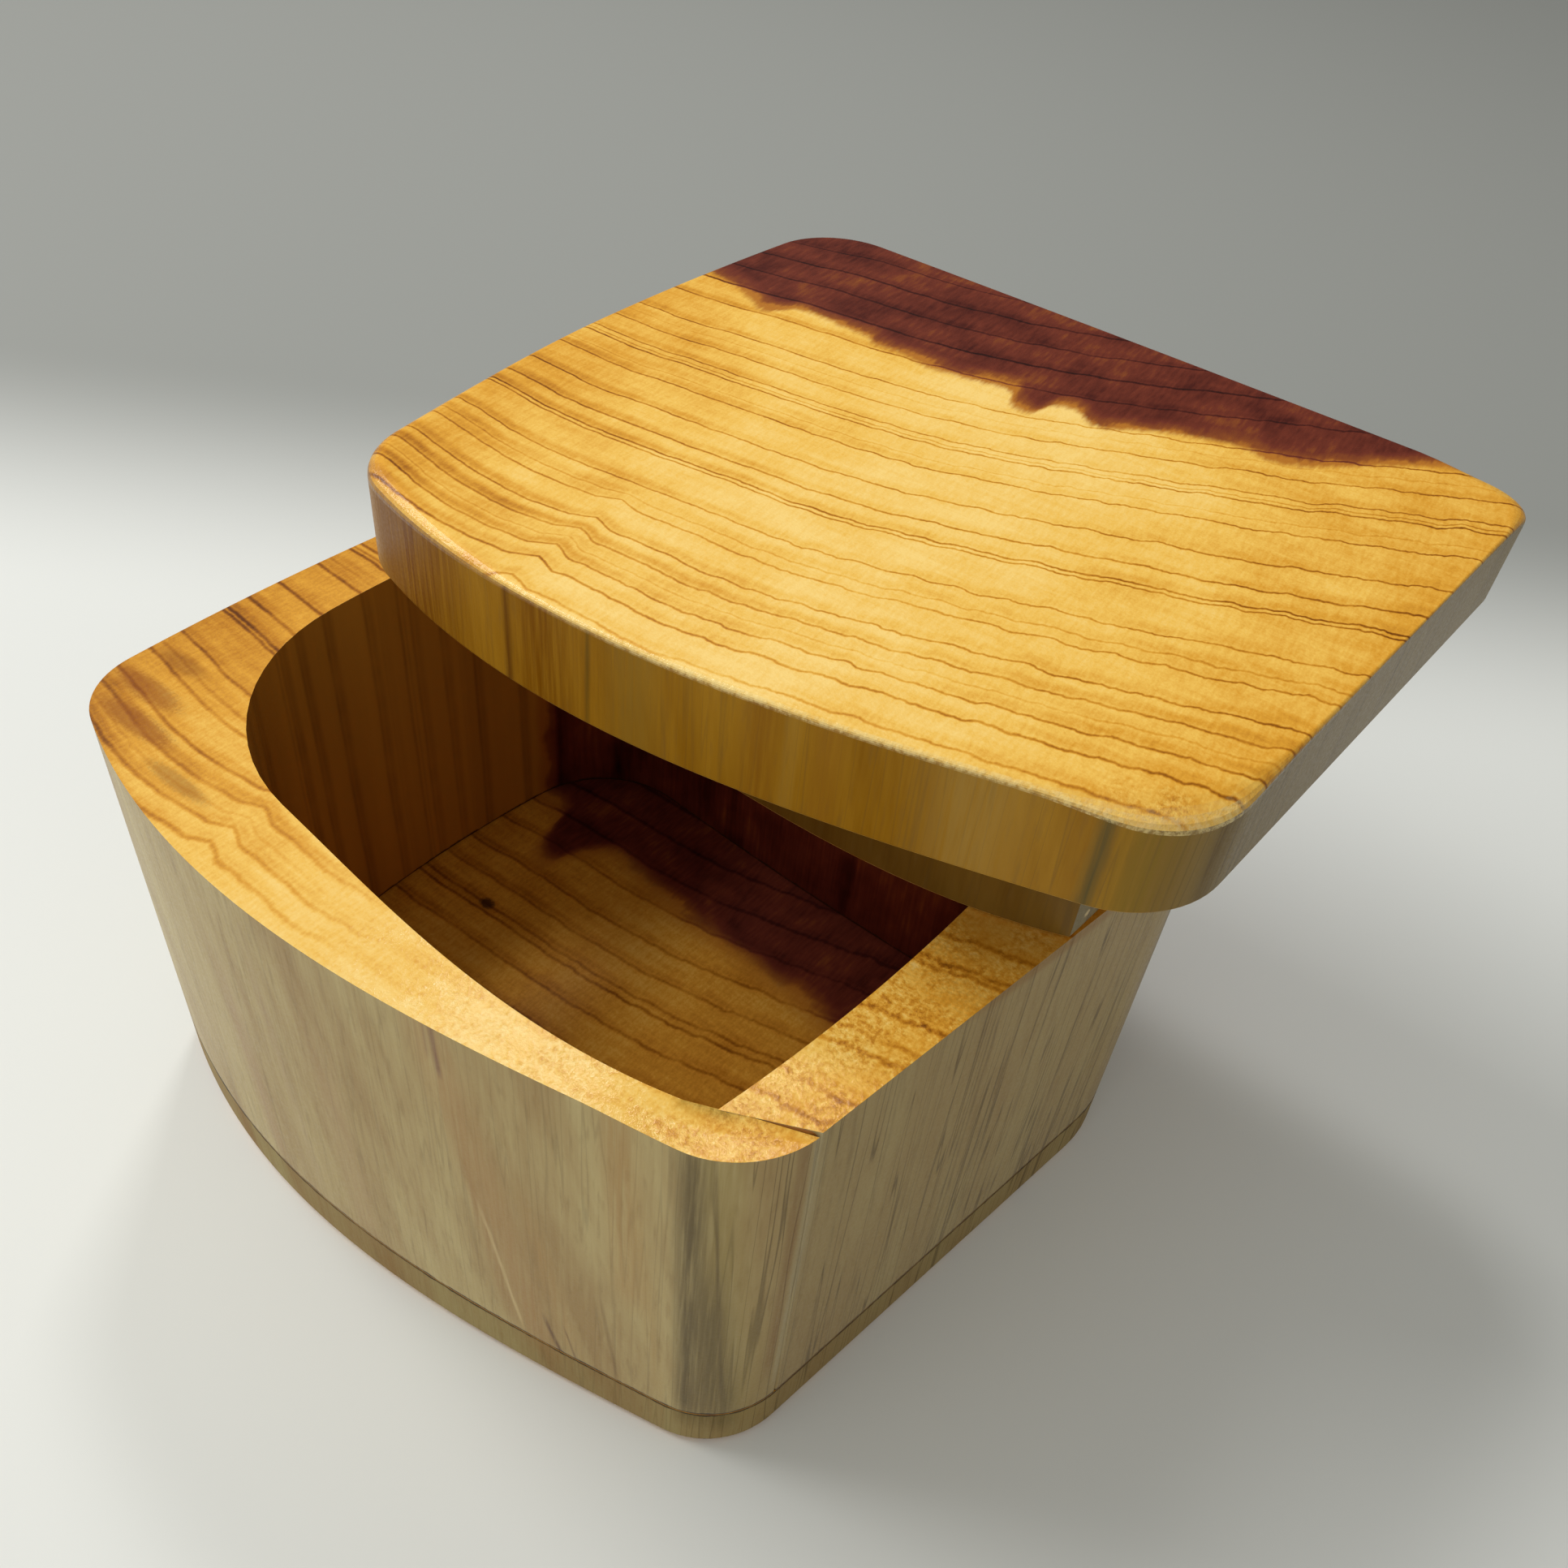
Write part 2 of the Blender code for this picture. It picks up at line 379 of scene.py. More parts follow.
def posed(shape: bmesh.types.BMesh) -> bmesh.types.BMesh:
    """Lay a piece of the lid askew, as the lid lies on the rim.

    Args:
        shape: The piece's solid, in its place in the block.

    Returns:
        The same solid, moved.
    """
    shift = Matrix.Translation((LID_SHIFT[0] * MM, LID_SHIFT[1] * MM, 0.0))
    bmesh.ops.transform(shape, matrix=shift @ Matrix.Rotation(LID_TURN, 4, "Z"), verts=shape.verts)
    return shape


@dataclass(frozen=True)
class Role:
    """What a piece stands for.

    Attributes:
        body: The body that it rides on.
        slot: Its material slot; not used.
        node: The CAD node that it replaces.
    """

    body: str
    slot: str
    node: str


def add_piece(
    name: str, shape: bmesh.types.BMesh, finish: bpy.types.Material, role: Role
) -> bpy.types.Object:
    """Turn a solid into a named object that stands at the origin, in place of its CAD node.

    Args:
        name: The piece's name.
        shape: The solid, which is used up.
        finish: Its material.
        role: What it stands for.

    Returns:
        The new object.
    """
    mesh = bpy.data.meshes.new(name)
    shape.normal_update()
    shape.to_mesh(mesh)
    shape.free()
    mesh.shade_smooth()
    mesh.set_sharp_from_angle(angle=SHARP_ANGLE)
    mesh.materials.append(finish)
    piece = bpy.data.objects.new(name, mesh)
    bpy.context.collection.objects.link(piece)
    weighted = piece.modifiers.new("flat_faces_lead", "WEIGHTED_NORMAL")
    weighted.keep_sharp = True
    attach(piece, role.body)
    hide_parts(role.node)
    return piece


# Materials


# The wood's noise patterns. Scale is how many spots go to a millimetre, and a factor below 1 in one of the
# triples draws the spots out along x, y or z.

# Pores of some 0.1 mm, drawn at 0.4 mm so that they show
PORES = {"Scale": 2.4, "Detail": 2.0, "Roughness": 0.6}
# Fibres some 0.6 mm wide and swathes of some 9 mm, which run along the grain
FIBRES = {"Scale": 1.6, "Detail": 3.0, "Roughness": 0.6}
SWATHES = {"Scale": 0.11, "Detail": 3.0}
GRAIN_DRAWN = (1.0, 1.0, 0.035)
# Folds of crinkled lacquer, 0.5 to 1 mm across, and the patches of some 4 mm in which they come and go
FOLDS = {"Scale": 1.25, "Detail": 4.0, "Roughness": 0.68}
FOLD_PATCHES = {"Scale": 0.24, "Detail": 2.0}
# Crinkles of the rings, some 4 mm long, and swells of some 20 mm, which neighbouring rings share
RING_CRINKLES = {"Scale": 0.27, "Detail": 3.0, "Roughness": 0.55}
RING_SWELLS = {"Scale": 0.045, "Detail": 1.0}
RINGS_DRAWN = (1.0, 0.30, 0.12)
# How a ring comes and goes along its way
RING_FADES = {"Scale": 0.16, "Detail": 2.0}
# End grain: clouds, faint bands some 1 mm wide in each year's growth, and rays 0.5 mm wide across the rings
END_CLOUDS = {"Scale": 0.07, "Detail": 3.0}
YEAR_BANDS = {"Scale": 0.9, "Detail": 3.0}
YEARS_DRAWN = (0.12, 1.0, 0.02)
RAYS = {"Scale": 1.9, "Detail": 2.0}
RAYS_DRAWN = (1.0, 0.22, 0.05)
# Side grain: clouds some 10 mm wide and 70 mm tall, flecks 0.3 mm wide and some 3 mm long where pores run
# out of the face, and hair lines some 3 mm apart, 0.15 mm wide and tens of millimetres long
SIDE_CLOUDS = {"Scale": 0.10, "Detail": 4.0, "Roughness": 0.6}
FLECKS = {"Scale": 1.3, "Detail": 3.0}
FLECKS_DRAWN = (1.0, 1.0, 0.13)
HAIR_LINES = {"Scale": 0.55, "Detail": 1.0}
HAIR_DRAWN = (1.0, 1.0, 0.022)
# Heartwood: the fringe of its edge, and its darker patches
FRINGE = {"Scale": 1.6, "Detail": 3.0}
FRINGE_DRAWN = (1.0, 0.16, 0.06)
HEART_PATCHES = {"Scale": 0.11, "Detail": 3.0}
# How unevenly dust and glue fill a joint
JOINT_GAPS = {"Scale": 0.35, "Detail": 4.0, "Roughness": 0.7}

# Colours of end grain and of heartwood, from the palest tone to the darkest
GOLDS = (
    (0.0, "#FAD47C"), (0.2, "#F2C158"), (0.4, "#DFA034"), (0.6, "#C07E1E"), (0.8, "#94580E"),
    (1.0, "#633407"),
)
REDS = ((0.0, "#B57226"), (0.12, "#8A4A20"), (0.32, "#6E3020"), (0.62, "#4A1A12"), (1.0, "#220A06"))
FLECK_BROWN = "#7A5C2C"
HAIR_BROWN = "#5E4A28"
RING_END_BROWN = "#5C4726"
CAVITY_BAND_BROWN = "#6A3A10"
JOINT_BROWN = "#2E1F0E"


@dataclass(frozen=True)
class Ring:
    """One growth ring's dark end, where the tree stopped growing for the year.

    Attributes:
        depth: Where it crosses the line x = -45 of the block's plan.
        line: Strength of its thin dark line.
        shade: Strength of the warm shade on its pith side.
        width: Half the width of the line.
    """

    depth: float
    line: float
    shade: float
    width: float = 0.34


@dataclass(frozen=True)
class Streak:
    """A streak of coloured grain that comes out at the front face.

    Attributes:
        foot: How far right its middle lies at the table.
        lean: How far further left it lies for each millimetre up.
        width: Half its width.
        low: Height where it starts.
        high: Height where it ends.
        strength: Its strength.
        tint: Its colour.
    """

    foot: float
    lean: float
    width: float
    low: float
    high: float
    strength: float
    tint: str


@dataclass(frozen=True)
class Mark:
    """A spot on a face, such as a pin knot, a chip or a patch of painted shade.

    Attributes:
        place: Its middle in the uncut block.
        reach: How far it reaches along each axis.
        strength: Its strength.
        tint: Its colour.
    """

    place: Triple
    reach: Triple
    strength: float
    tint: str


@dataclass(frozen=True)
class Arris:
    """The tint along a rounded upper arris: thick lacquer on the rim, a painted highlight on the lid.

    Attributes:
        tint: Its colour.
        least: Its strength between the folds.
        most: Its strength on them.
        start: The x where it starts.
        full: The x where it is in full.
        depth: How strongly it shows, by y.
    """

    tint: str
    least: float
    most: float
    start: float = -100.0
    full: float = -90.0
    depth: Curve = ((-72.0, 1.0), (72.0, 1.0))


RINGS = tuple(
    Ring(*row)
    for row in (
        (57.0, 0.7, 0.5), (49.5, 0.8, 0.4), (41.5, 0.9, 0.6, 0.5), (33.5, 0.8, 0.5, 0.45),
        (25.5, 1.0, 0.5, 0.5), (17.6, 0.75, 0.5, 0.40), (8.1, 0.8, 0.35, 0.32), (5.0, 0.18, 0.10, 0.30),
        (1.7, 0.7, 0.45, 0.32), (-3.9, 0.7, 0.35, 0.30), (-5.2, 0.45, 0.0, 0.26), (-6.1, 0.85, 0.0, 0.32),
        (-10.2, 0.25, 0.15, 0.28), (-12.7, 0.75, 0.40, 0.32), (-20.4, 0.75, 0.40, 0.32),
        (-26.3, 0.75, 0.50, 0.36), (-30.3, 0.85, 0.60, 0.34), (-31.2, 0.75, 0.0, 0.30),
        (-39.1, 0.65, 0.50, 0.30), (-42.6, 0.35, 0.40, 0.32), (-44.8, 0.60, 0.30, 0.32),
        (-50.5, 0.70, 0.55, 0.32), (-53.8, 0.60, 0.85, 0.36), (-56.2, 0.25, 0.25, 0.30),
        (-58.6, 0.65, 0.75, 0.34), (-61.9, 0.75, 0.45, 0.40), (-66.8, 0.50, 0.40, 0.40),
    )
)
# In the base the rings lie a little further towards the bark, and show softer
BASE_RINGS = tuple(
    Ring(*row)
    for row in (
        (50.0, 0.6, 0.5, 0.6), (41.0, 0.6, 0.5, 0.6), (33.0, 0.6, 0.5, 0.6), (25.0, 0.7, 0.5, 0.6),
        (17.0, 0.6, 0.5, 0.6), (9.5, 0.45, 0.6, 0.5), (1.5, 0.45, 0.5, 0.5), (-4.5, 0.40, 0.5, 0.5),
        (-9.7, 0.50, 0.6, 0.5), (-11.4, 0.55, 0.4, 0.5), (-17.3, 0.45, 0.5, 0.5), (-24.0, 0.45, 0.5, 0.5),
        (-31.0, 0.45, 0.5, 0.5), (-38.5, 0.45, 0.5, 0.5), (-45.0, 0.45, 0.5, 0.5), (-54.0, 0.45, 0.5, 0.5),
        (-62.0, 0.45, 0.5, 0.5),
    )
)
# The shade beside a ring's line: how far on the pith side its middle lies, and half its width
SHADE_OFFSET, SHADE_WIDTH = 1.0, 1.35

# The given curves run over x from -PLAN_REACH to PLAN_REACH
PLAN_REACH = 72.0
# How far the rings have climbed by each x, and how much less that is for each millimetre towards the bark
CLIMB = (
    (-72, -0.8), (-65, -0.6), (-55, -0.7), (-45, 0.0), (-35, 0.2), (-25, 0.7), (-10, 2.9), (8, 8.8),
    (25, 16.0), (40, 23.0), (57, 31.5), (72, 39.0),
)
CLIMB_LOSS = (
    (-72, -0.11), (-65, -0.08), (-55, -0.035), (-45, 0.0), (-35, 0.0), (-25, 0.005), (-10, 0.04),
    (8, 0.08), (25, 0.14), (40, 0.20), (57, 0.27), (72, 0.34),
)
# How brown the end grain is between its rings, by x
TAN_OF_LID = (
    (-72, 0.32), (-60, 0.26), (-45, 0.17), (-28, 0.09), (-5, 0.03), (15, 0.06), (32, 0.15), (48, 0.25),
    (72, 0.32),
)
TAN_OF_WALL = (
    (-72, 0.50), (-62, 0.42), (-48, 0.30), (-34, 0.19), (-15, 0.10), (15, 0.06), (36, 0.12), (45, 0.20),
    (72, 0.32),
)
TAN_OF_BASE = ((-72, 0.49), (-45, 0.40), (-20, 0.34), (20, 0.37), (72, 0.47))
# Where the heartwood starts, by x
HEART_OF_LID = (
    (-72, 25), (-62, 23.5), (-58, 22), (-54, 19.5), (-51, 18), (-48.5, 20), (-46, 22.3), (-40, 22),
    (-36, 21.3), (-33, 21.3), (-31, 19.5), (-26, 19.5), (-20, 18.3), (-12, 19.4), (-7, 20), (-5, 16),
    (-2, 15.2), (0, 19), (3, 21), (8, 18.3), (12, 20.5), (15, 22.5), (22, 25.5), (28, 27), (32, 25.8),
    (36, 27), (40, 30), (46, 35.5), (50, 39), (56, 43), (72, 52),
)
HEART_OF_WALL = (
    (-72, 22), (-58, 18), (-48, 17), (-30, 18), (-10, 16), (10, 17), (30, 22), (50, 36), (60, 44), (72, 52),
)
HEART_OF_BASE = (
    (-72, 18), (-57, 16.5), (-52, 17), (-48.5, 15.5), (-47, 9.5), (-44, 5), (-41.5, 4.2), (-39.5, 7.5),
    (-37, 11), (-33, 14), (-28, 13.5), (-22, 12), (-15, 11), (-5, 10.5), (2, 10.5), (10, 9.5), (17, 9),
    (24, 7.5), (35, 8), (44, 12), (54, 32), (72, 52),
)

BODY_STREAKS = tuple(
    Streak(*row)
    for row in (
        (25.0, 0.20, 4.6, 4.0, 96.0, 0.60, "#A9814E"), (19.8, 0.125, 1.4, 8.0, 58.0, 0.55, "#9C7440"),
        (21.9, 0.172, 0.35, 10.0, 42.0, 0.60, "#D8C08C"), (31.0, 0.20, 2.4, 9.0, 52.0, 0.40, "#B08A52"),
        (28.9, 0.27, 0.55, 8.5, 18.5, 0.90, "#6B4A2E"), (31.5, 0.25, 0.30, 8.5, 18.0, 0.75, "#76553A"),
        (14.4, 0.04, 0.60, 63.0, 88.0, 0.80, "#7A5340"), (12.0, 0.02, 0.35, 66.0, 88.0, 0.60, "#8E6748"),
        (38.5, 0.05, 3.2, 30.0, 98.0, 0.50, "#A87E44"), (36.0, 0.10, 0.35, 9.0, 34.0, 0.55, "#7C5E36"),
        (50.3, 0.055, 3.6, 4.0, 98.0, 0.50, "#978342"), (46.9, 0.040, 4.4, 4.0, 78.0, 0.50, "#6E5C34"),
        (45.3, 0.026, 2.6, 4.0, 98.0, 0.75, "#5C4C2A"), (50.0, 0.055, 0.35, 9.0, 98.0, 0.65, "#6A5630"),
        (49.2, 0.055, 2.8, 2.0, 52.0, 0.62, "#5C4C2A"), (52.05, 0.0, 0.40, 14.0, 98.0, 0.60, "#80592F"),
        (52.75, 0.0, 0.35, 9.5, 98.0, 0.70, "#B4A681"), (41.5, 0.07, 1.2, 9.0, 66.0, 0.35, "#AC8A50"),
        (-38.6, 0.02, 0.7, 10.0, 30.0, 0.45, "#94805A"), (-26.0, 0.05, 3.2, 9.0, 60.0, 0.30, "#BB9A78"),
        (-16.5, 0.06, 1.4, 12.0, 72.0, 0.34, "#A98C68"), (-7.0, 0.05, 4.0, 9.0, 60.0, 0.25, "#C0A076"),
    )
)
# The lid's side shows its streaks over its whole height
LID_STREAKS = tuple(
    Streak(foot, 0.0, width, 40.0, 120.0, strength, tint)
    for foot, width, strength, tint in (
        (-52.0, 14.0, 0.90, "#6E3F00"), (-27.0, 7.5, 0.80, "#764600"), (-33.2, 1.1, 0.80, "#5A3208"),
        (-20.6, 0.5, 0.60, "#5A4718"), (-14.0, 5.0, 0.45, "#94762E"), (3.2, 3.6, 0.65, "#8E5E14"),
        (11.8, 2.4, 0.65, "#9A6A1C"), (7.5, 1.4, 0.35, "#A8863C"), (28.0, 8.0, 0.50, "#B08E46"),
        (47.0, 5.5, 0.75, "#86691C"), (41.7, 1.5, 0.80, "#564E2C"), (52.6, 0.9, 0.60, "#5E4414"),
    )
)


@dataclass(frozen=True)
class CedarFinish:
    """Eastern red cedar, sawn, sanded and sprayed with clear satin lacquer.

    End grain soaks the lacquer up, so it is golden with thin brown ring lines, and its pores still show
    as a fine sparkle. Side grain stays a pale khaki. The heartwood is dark purplish red.

    Attributes:
        name: The material's name.
        climb: The share of the rings' climb that this slice of the block shows.
        rings: Its growth rings.
        heart_edge: Where its heartwood starts, by x.
        tan: How brown the end grain is between the rings, by x.
        bump_x: Where a small radial bump lifts the rings near the bark.
        side_pale: Side grain's paler colour.
        side_warm: Its warmer one.
        heart_blur: Half the width over which the heartwood starts.
        heart_light: How much lighter it is than the darkest red.
        nearer_bark: How much nearer to the bark its rings lie than in the lid.
        roughness: The least and the greatest roughness of its lacquer.
        inside: Colour of the side grain in the cavity.
        streaks: Streaks on the front.
        marks: Small spots.
        lies_with_lid: Whether the piece is part of the lid, askew and raised.
        crinkle: Where the end grain's lacquer is crinkled, with pale specks painted there as glints: the x
            where it starts and where it is in full.
        crinkle_depth: How strongly it is, by y.
        worn: How much of the ring lines it hides on the front strip.
        softness: How much wider than in the lid the ring lines show.
        arris: The tint of the upper arris: lacquer gathered there, and on the lid a painted highlight.
        right_face_shade_and_sheen: Side grain's colour on faces that look right, painted darker and greyer
            there for their shade and sheen, and its strength.
        banding: How strongly the rings' warm shades show.
        shine: How much the lacquer's skin mirrors.
    """

    name: str
    climb: float
    rings: tuple[Ring, ...]
    heart_edge: Curve
    tan: Curve
    bump_x: float
    side_pale: str
    side_warm: str
    heart_blur: float = 1.2
    heart_light: float = 0.36
    nearer_bark: float = 0.0
    roughness: tuple[float, float] = (0.30, 0.46)
    inside: str = "#C98C30"
    streaks: tuple[Streak, ...] = BODY_STREAKS
    marks: tuple[Mark, ...] = ()
    lies_with_lid: bool = False
    crinkle: tuple[float, float] = (200.0, 220.0)
    crinkle_depth: Curve = ((-72.0, 1.0), (72.0, 1.0))
    worn: float = 0.0
    softness: float = 1.0
    arris: Arris = Arris("#8F7612", 0.55, 0.9)
    right_face_shade_and_sheen: tuple[str, float] = ("#A08656", 0.6)
    banding: float = 1.0
    shine: float = 0.14

    def make(self) -> bpy.types.Material:
        """Build the material."""
        return CedarNodes(self).build()


class CedarNodes:
    """The nodes of one slice's cedar.

    Attributes:
        finish: What the slice is like.
        material: The material that is built.
        place: Each point's place in the uncut block, in millimetres.
        x: Its first part.
        y: Its second part.
        z: Its third part.
        facing: The face's own direction.
        rightward: How far right the face looks.
        up: How far up it looks.
        level: 1 on a level face, which is end grain, and 0 on an upright one.
        fine: The pores.
        broad: The swathes along the grain.
        fibre: The fibres.
        folds: The folds of crinkled lacquer.
        crinkle: 1 where the end grain's lacquer is crinkled all over.
        line: Strength of the ring lines.
        shade: Strength of the warm shade beside them.
    """

    def __init__(self, finish: CedarFinish) -> None:
        """Start an empty material and read what every part of it needs.

        Args:
            finish: What the slice is like.
        """
        self.finish = finish
        self.material = new_material(finish.name)
        shift, turn = (0.0, 0.0, 0.0), 0.0
        if finish.lies_with_lid:
            shift, turn = (LID_SHIFT[0] * MM, LID_SHIFT[1] * MM, LID_RAISED * MM), LID_TURN
        sockets = {"Vector": self.add(COORDS, {}, "Object"), "Location": shift, "Scale": (MM, MM, MM)}
        self.place = self.add(MAPPING, {**sockets, "Rotation": (0.0, 0.0, turn)}, vector_type="TEXTURE")
        self.x, self.y, self.z = (self.add(SEPARATE, {0: self.place}, i) for i in range(3))
        self.facing = self.add(COORDS, {}, "Normal")
        self.rightward = self.add(SEPARATE, {0: self.facing}, 0)
        self.up = self.add(SEPARATE, {0: self.facing}, 2)
        steep = self.add(MATH, {0: self.up}, **MAGNITUDE)
        self.level = self.add(RANGE, {"Value": steep, "From Min": 0.25, "From Max": 0.75}, **SMOOTH)
        self.fine = self.add(NOISE, {"Vector": self.place, **PORES})
        drawn = self.add(VECTOR, {0: self.place, 1: GRAIN_DRAWN}, **TIMES)
        self.broad = self.add(NOISE, {"Vector": drawn, **SWATHES})
        self.fibre = self.add(NOISE, {"Vector": drawn, **FIBRES})
        self.folds = self.add(NOISE, {"Vector": self.place, **FOLDS})
        start, full = finish.crinkle
        by_depth = self.curve_of(finish.crinkle_depth, 0.0, 1.0, self.y)
        where = self.add(RANGE, {"Value": self.x, "From Min": start, "From Max": full})
        where = self.add(MATH, {0: where, 1: by_depth}, **TIMES)
        patches = self.add(NOISE, {"Vector": self.place, **FOLD_PATCHES})
        sockets = {"Value": patches, "From Min": 0.40, "From Max": 0.60}
        patchy = self.add(RANGE, {**sockets, "To Min": 0.35, "To Max": 1.1})
        where = self.add(MATH, {0: where, 1: patchy}, **TIMES)
        self.crinkle = self.add(MATH, {0: where, 1: self.level}, use_clamp=True, **TIMES)

    def add(
        self, kind: str, sockets: dict[int | str, object], out: int | str = 0, **settings: object
    ) -> Socket | None:
        """Add a node to this material, as add_node does."""
        return add_node(self.material.node_tree, kind, sockets, out, **settings)

    def weighed(
        self, start: Socket | float, parts: Sequence[tuple[Socket, Socket | float]], less: float
    ) -> Socket:
        """Add up several patterns, each with its weight.

        Args:
            start: What the sum starts from.
            parts: The patterns and their weights.
            less: What is taken off in the end.

        Returns:
            The sum, held between 0 and 1.
        """
        total = start
        for pattern, weight in parts:
            total = self.add(MATH, {0: pattern, 1: weight, 2: total}, **TIMES_PLUS)
        return self.add(MATH, {0: total, 1: less}, use_clamp=True, **LESS)

    def build(self) -> bpy.types.Material:
        """Put the whole material together.

        Returns:
            The finished material.
        """
        depth = self.ring_depth()
        soft = self.finish.softness
        lines = [(ring.depth, ring.width * soft, ring.line / math.sqrt(soft)) for ring in self.finish.rings]
        sockets = {"Value": self.x, "From Min": -28.0, "From Max": 0.0, "To Max": self.finish.worn}
        on_front = self.add(RANGE, {"Value": self.y, "From Min": -46.0, "From Max": -51.0})
        hidden = self.add(MATH, {0: self.add(RANGE, sockets), 1: on_front}, **TIMES)
        shown = self.add(MATH, {0: 1.0, 1: hidden}, **LESS)
        self.line = self.add(MATH, {0: self.ring_marks(depth, lines), 1: shown}, **TIMES)
        shaded = [ring for ring in self.finish.rings if ring.shade]
        shades = [(ring.depth + SHADE_OFFSET, SHADE_WIDTH, ring.shade) for ring in shaded]
        self.shade = self.ring_marks(depth, shades)
        end, side = self.end_colour(), self.side_colour()
        bare = self.add(MIX, {"Factor": self.level, 6: side, 7: end}, **COLOURS)
        colour = self.with_joint(self.with_arris(self.with_heartwood(bare)))
        for mark in self.finish.marks:
            colour = self.with_mark(colour, mark)
        self.lacquer(colour)
        return self.material

    def curve_of(self, points: Curve, low: float, span: float, along: Socket | None = None) -> Socket:
        """Read a given curve.

        Args:
            points: The curve's points, from -PLAN_REACH to PLAN_REACH.
            low: The least value that the curve can hold.
            span: The greatest less the least.
            along: Where on the curve each point is, or None for its x.

        Returns:
            The curve's value there.
        """
        share = self.add(RANGE, {"Value": along or self.x, "From Min": -PLAN_REACH, "From Max": PLAN_REACH})
        scaled = [((px + PLAN_REACH) / (2.0 * PLAN_REACH), (value - low) / span) for px, value in points]
        drawn = self.add("ShaderNodeFloatCurve", {"Value": share}, curve=scaled)
        return self.add(MATH, {0: drawn, 1: span, 2: low}, **TIMES_PLUS)

    def ring_depth(self) -> Socket:
        """Find each point's place among the rings.

        Returns:
            The y at which its ring crosses x = -45.
        """
        climb, loss = self.curve_of(CLIMB, -5.0, 50.0), self.curve_of(CLIMB_LOSS, -0.2, 0.6)
        deep = self.add(MATH, {0: self.y, 1: self.finish.nearer_bark}, **PLUS)
        level = self.add(MATH, {0: climb, 1: -self.finish.climb, 2: deep}, **TIMES_PLUS)
        scale = self.add(MATH, {0: loss, 1: self.finish.climb, 2: 1.0}, **TIMES_PLUS)
        depth = self.add(MATH, {0: level, 1: scale}, **DIVIDED)
        # The crinkles are larger on the right
        drawn = self.add(VECTOR, {0: self.place, 1: RINGS_DRAWN}, **TIMES)
        crinkles = self.add(NOISE, {"Vector": drawn, **RING_CRINKLES})
        centred = self.add(MATH, {0: crinkles, 1: 0.5}, **LESS)
        sockets = {"Value": self.x, "From Min": -40.0, "From Max": 12.0, "To Min": 0.9, "To Max": 2.3}
        wavy = self.add(MATH, {0: centred, 1: self.add(RANGE, sockets), 2: depth}, **TIMES_PLUS)
        swells = self.add(NOISE, {"Vector": drawn, **RING_SWELLS})
        swelled = self.add(MATH, {0: swells, 1: 2.0, 2: -1.0}, **TIMES_PLUS)
        total = self.add(MATH, {0: wavy, 1: swelled}, **PLUS)
        # Rings nearer the bark than -40 rise over the radial bump
        away = self.add(MATH, {0: self.x, 1: self.finish.bump_x}, **LESS)
        away = self.add(MATH, {0: away}, **MAGNITUDE)
        peak = self.add(RANGE, {"Value": away, "From Max": 3.2, "To Min": -1.5, "To Max": 0.0})
        near_bark = self.add(RANGE, {"Value": depth, "From Min": -39.0, "From Max": -44.0})
        return self.add(MATH, {0: peak, 1: near_bark, 2: total}, **TIMES_PLUS)

    def ring_marks(self, depth: Socket, marks: Sequence[Triple]) -> Socket:
        """Give the strongest of many soft marks that follow the rings, three to a node.

        Args:
            depth: Each point's place among the rings.
            marks: For each mark its middle, half its width and its strength.

        Returns:
            The strength, from 0 to 1, which comes and goes a little along the ring.
        """
        marks = [*marks, *[marks[-1]] * (-len(marks) % 3)]
        spread = self.add(COMBINE, {0: depth, 1: depth, 2: depth})
        strongest = None
        for three in zip(marks[0::3], marks[1::3], marks[2::3]):
            middles, halves, strengths = zip(*three)
            off = self.add(VECTOR, {0: spread, 1: middles}, **LESS)
            gap = self.add(VECTOR, {0: off}, **MAGNITUDE)
            sockets = {"Vector": gap, 7: (0.0, 0.0, 0.0), 8: halves, 9: strengths, 10: (0.0, 0.0, 0.0)}
            mark = self.add(RANGE, sockets, 1, data_type="FLOAT_VECTOR", **SMOOTH)
            if strongest is not None:
                mark = self.add(VECTOR, {0: strongest, 1: mark}, **GREATEST)
            strongest = mark
        parts = [self.add(SEPARATE, {0: strongest}, i) for i in range(3)]
        two = self.add(MATH, {0: parts[0], 1: parts[1]}, **GREATEST)
        three = self.add(MATH, {0: two, 1: parts[2]}, **GREATEST)
        fades = self.add(NOISE, {"Vector": self.place, **RING_FADES})
        sockets = {"Value": fades, "From Min": 0.3, "From Max": 0.65}
        fickle = self.add(RANGE, {**sockets, "To Min": 0.6, "To Max": 1.05})
        return self.add(MATH, {0: three, 1: fickle}, **TIMES)

    def end_colour(self) -> Socket:
        """Colour the sapwood's end grain: gold, browner towards both sides, with brown ring lines.

        Returns:
            The colour.
        """
        # Crinkled lacquer breaks the gold up into pale and brown specks; the pale ones are painted glints of
        # its lit folds
        sockets = {"Value": self.folds, "From Min": 0.36, "From Max": 0.66, "To Min": -0.20, "To Max": 0.24}
        glint_and_fold_speck = self.add(RANGE, sockets)
        near, far = 0.40 * self.finish.banding, 0.20 * self.finish.banding
        sockets = {"Value": self.x, "From Min": -50.0, "From Max": 5.0, "To Min": near, "To Max": far}
        in_years = self.add(VECTOR, {0: self.place, 1: YEARS_DRAWN}, **TIMES)
        radial = self.add(VECTOR, {0: self.place, 1: RAYS_DRAWN}, **TIMES)
        parts = (
            (self.add(NOISE, {"Vector": self.place, **END_CLOUDS}), 0.44),
            (self.add(NOISE, {"Vector": in_years, **YEAR_BANDS}), 0.24),
            (self.add(NOISE, {"Vector": radial, **RAYS}), 0.26),
            (self.fine, 0.24),
            (glint_and_fold_speck, self.crinkle),
            (self.shade, self.add(RANGE, sockets)),
            (self.line, 0.72),
        )
        toned = self.weighed(self.curve_of(self.finish.tan, 0.0, 1.0), parts, 0.54)
        return self.add(RAMP, {0: toned}, stops=GOLDS)

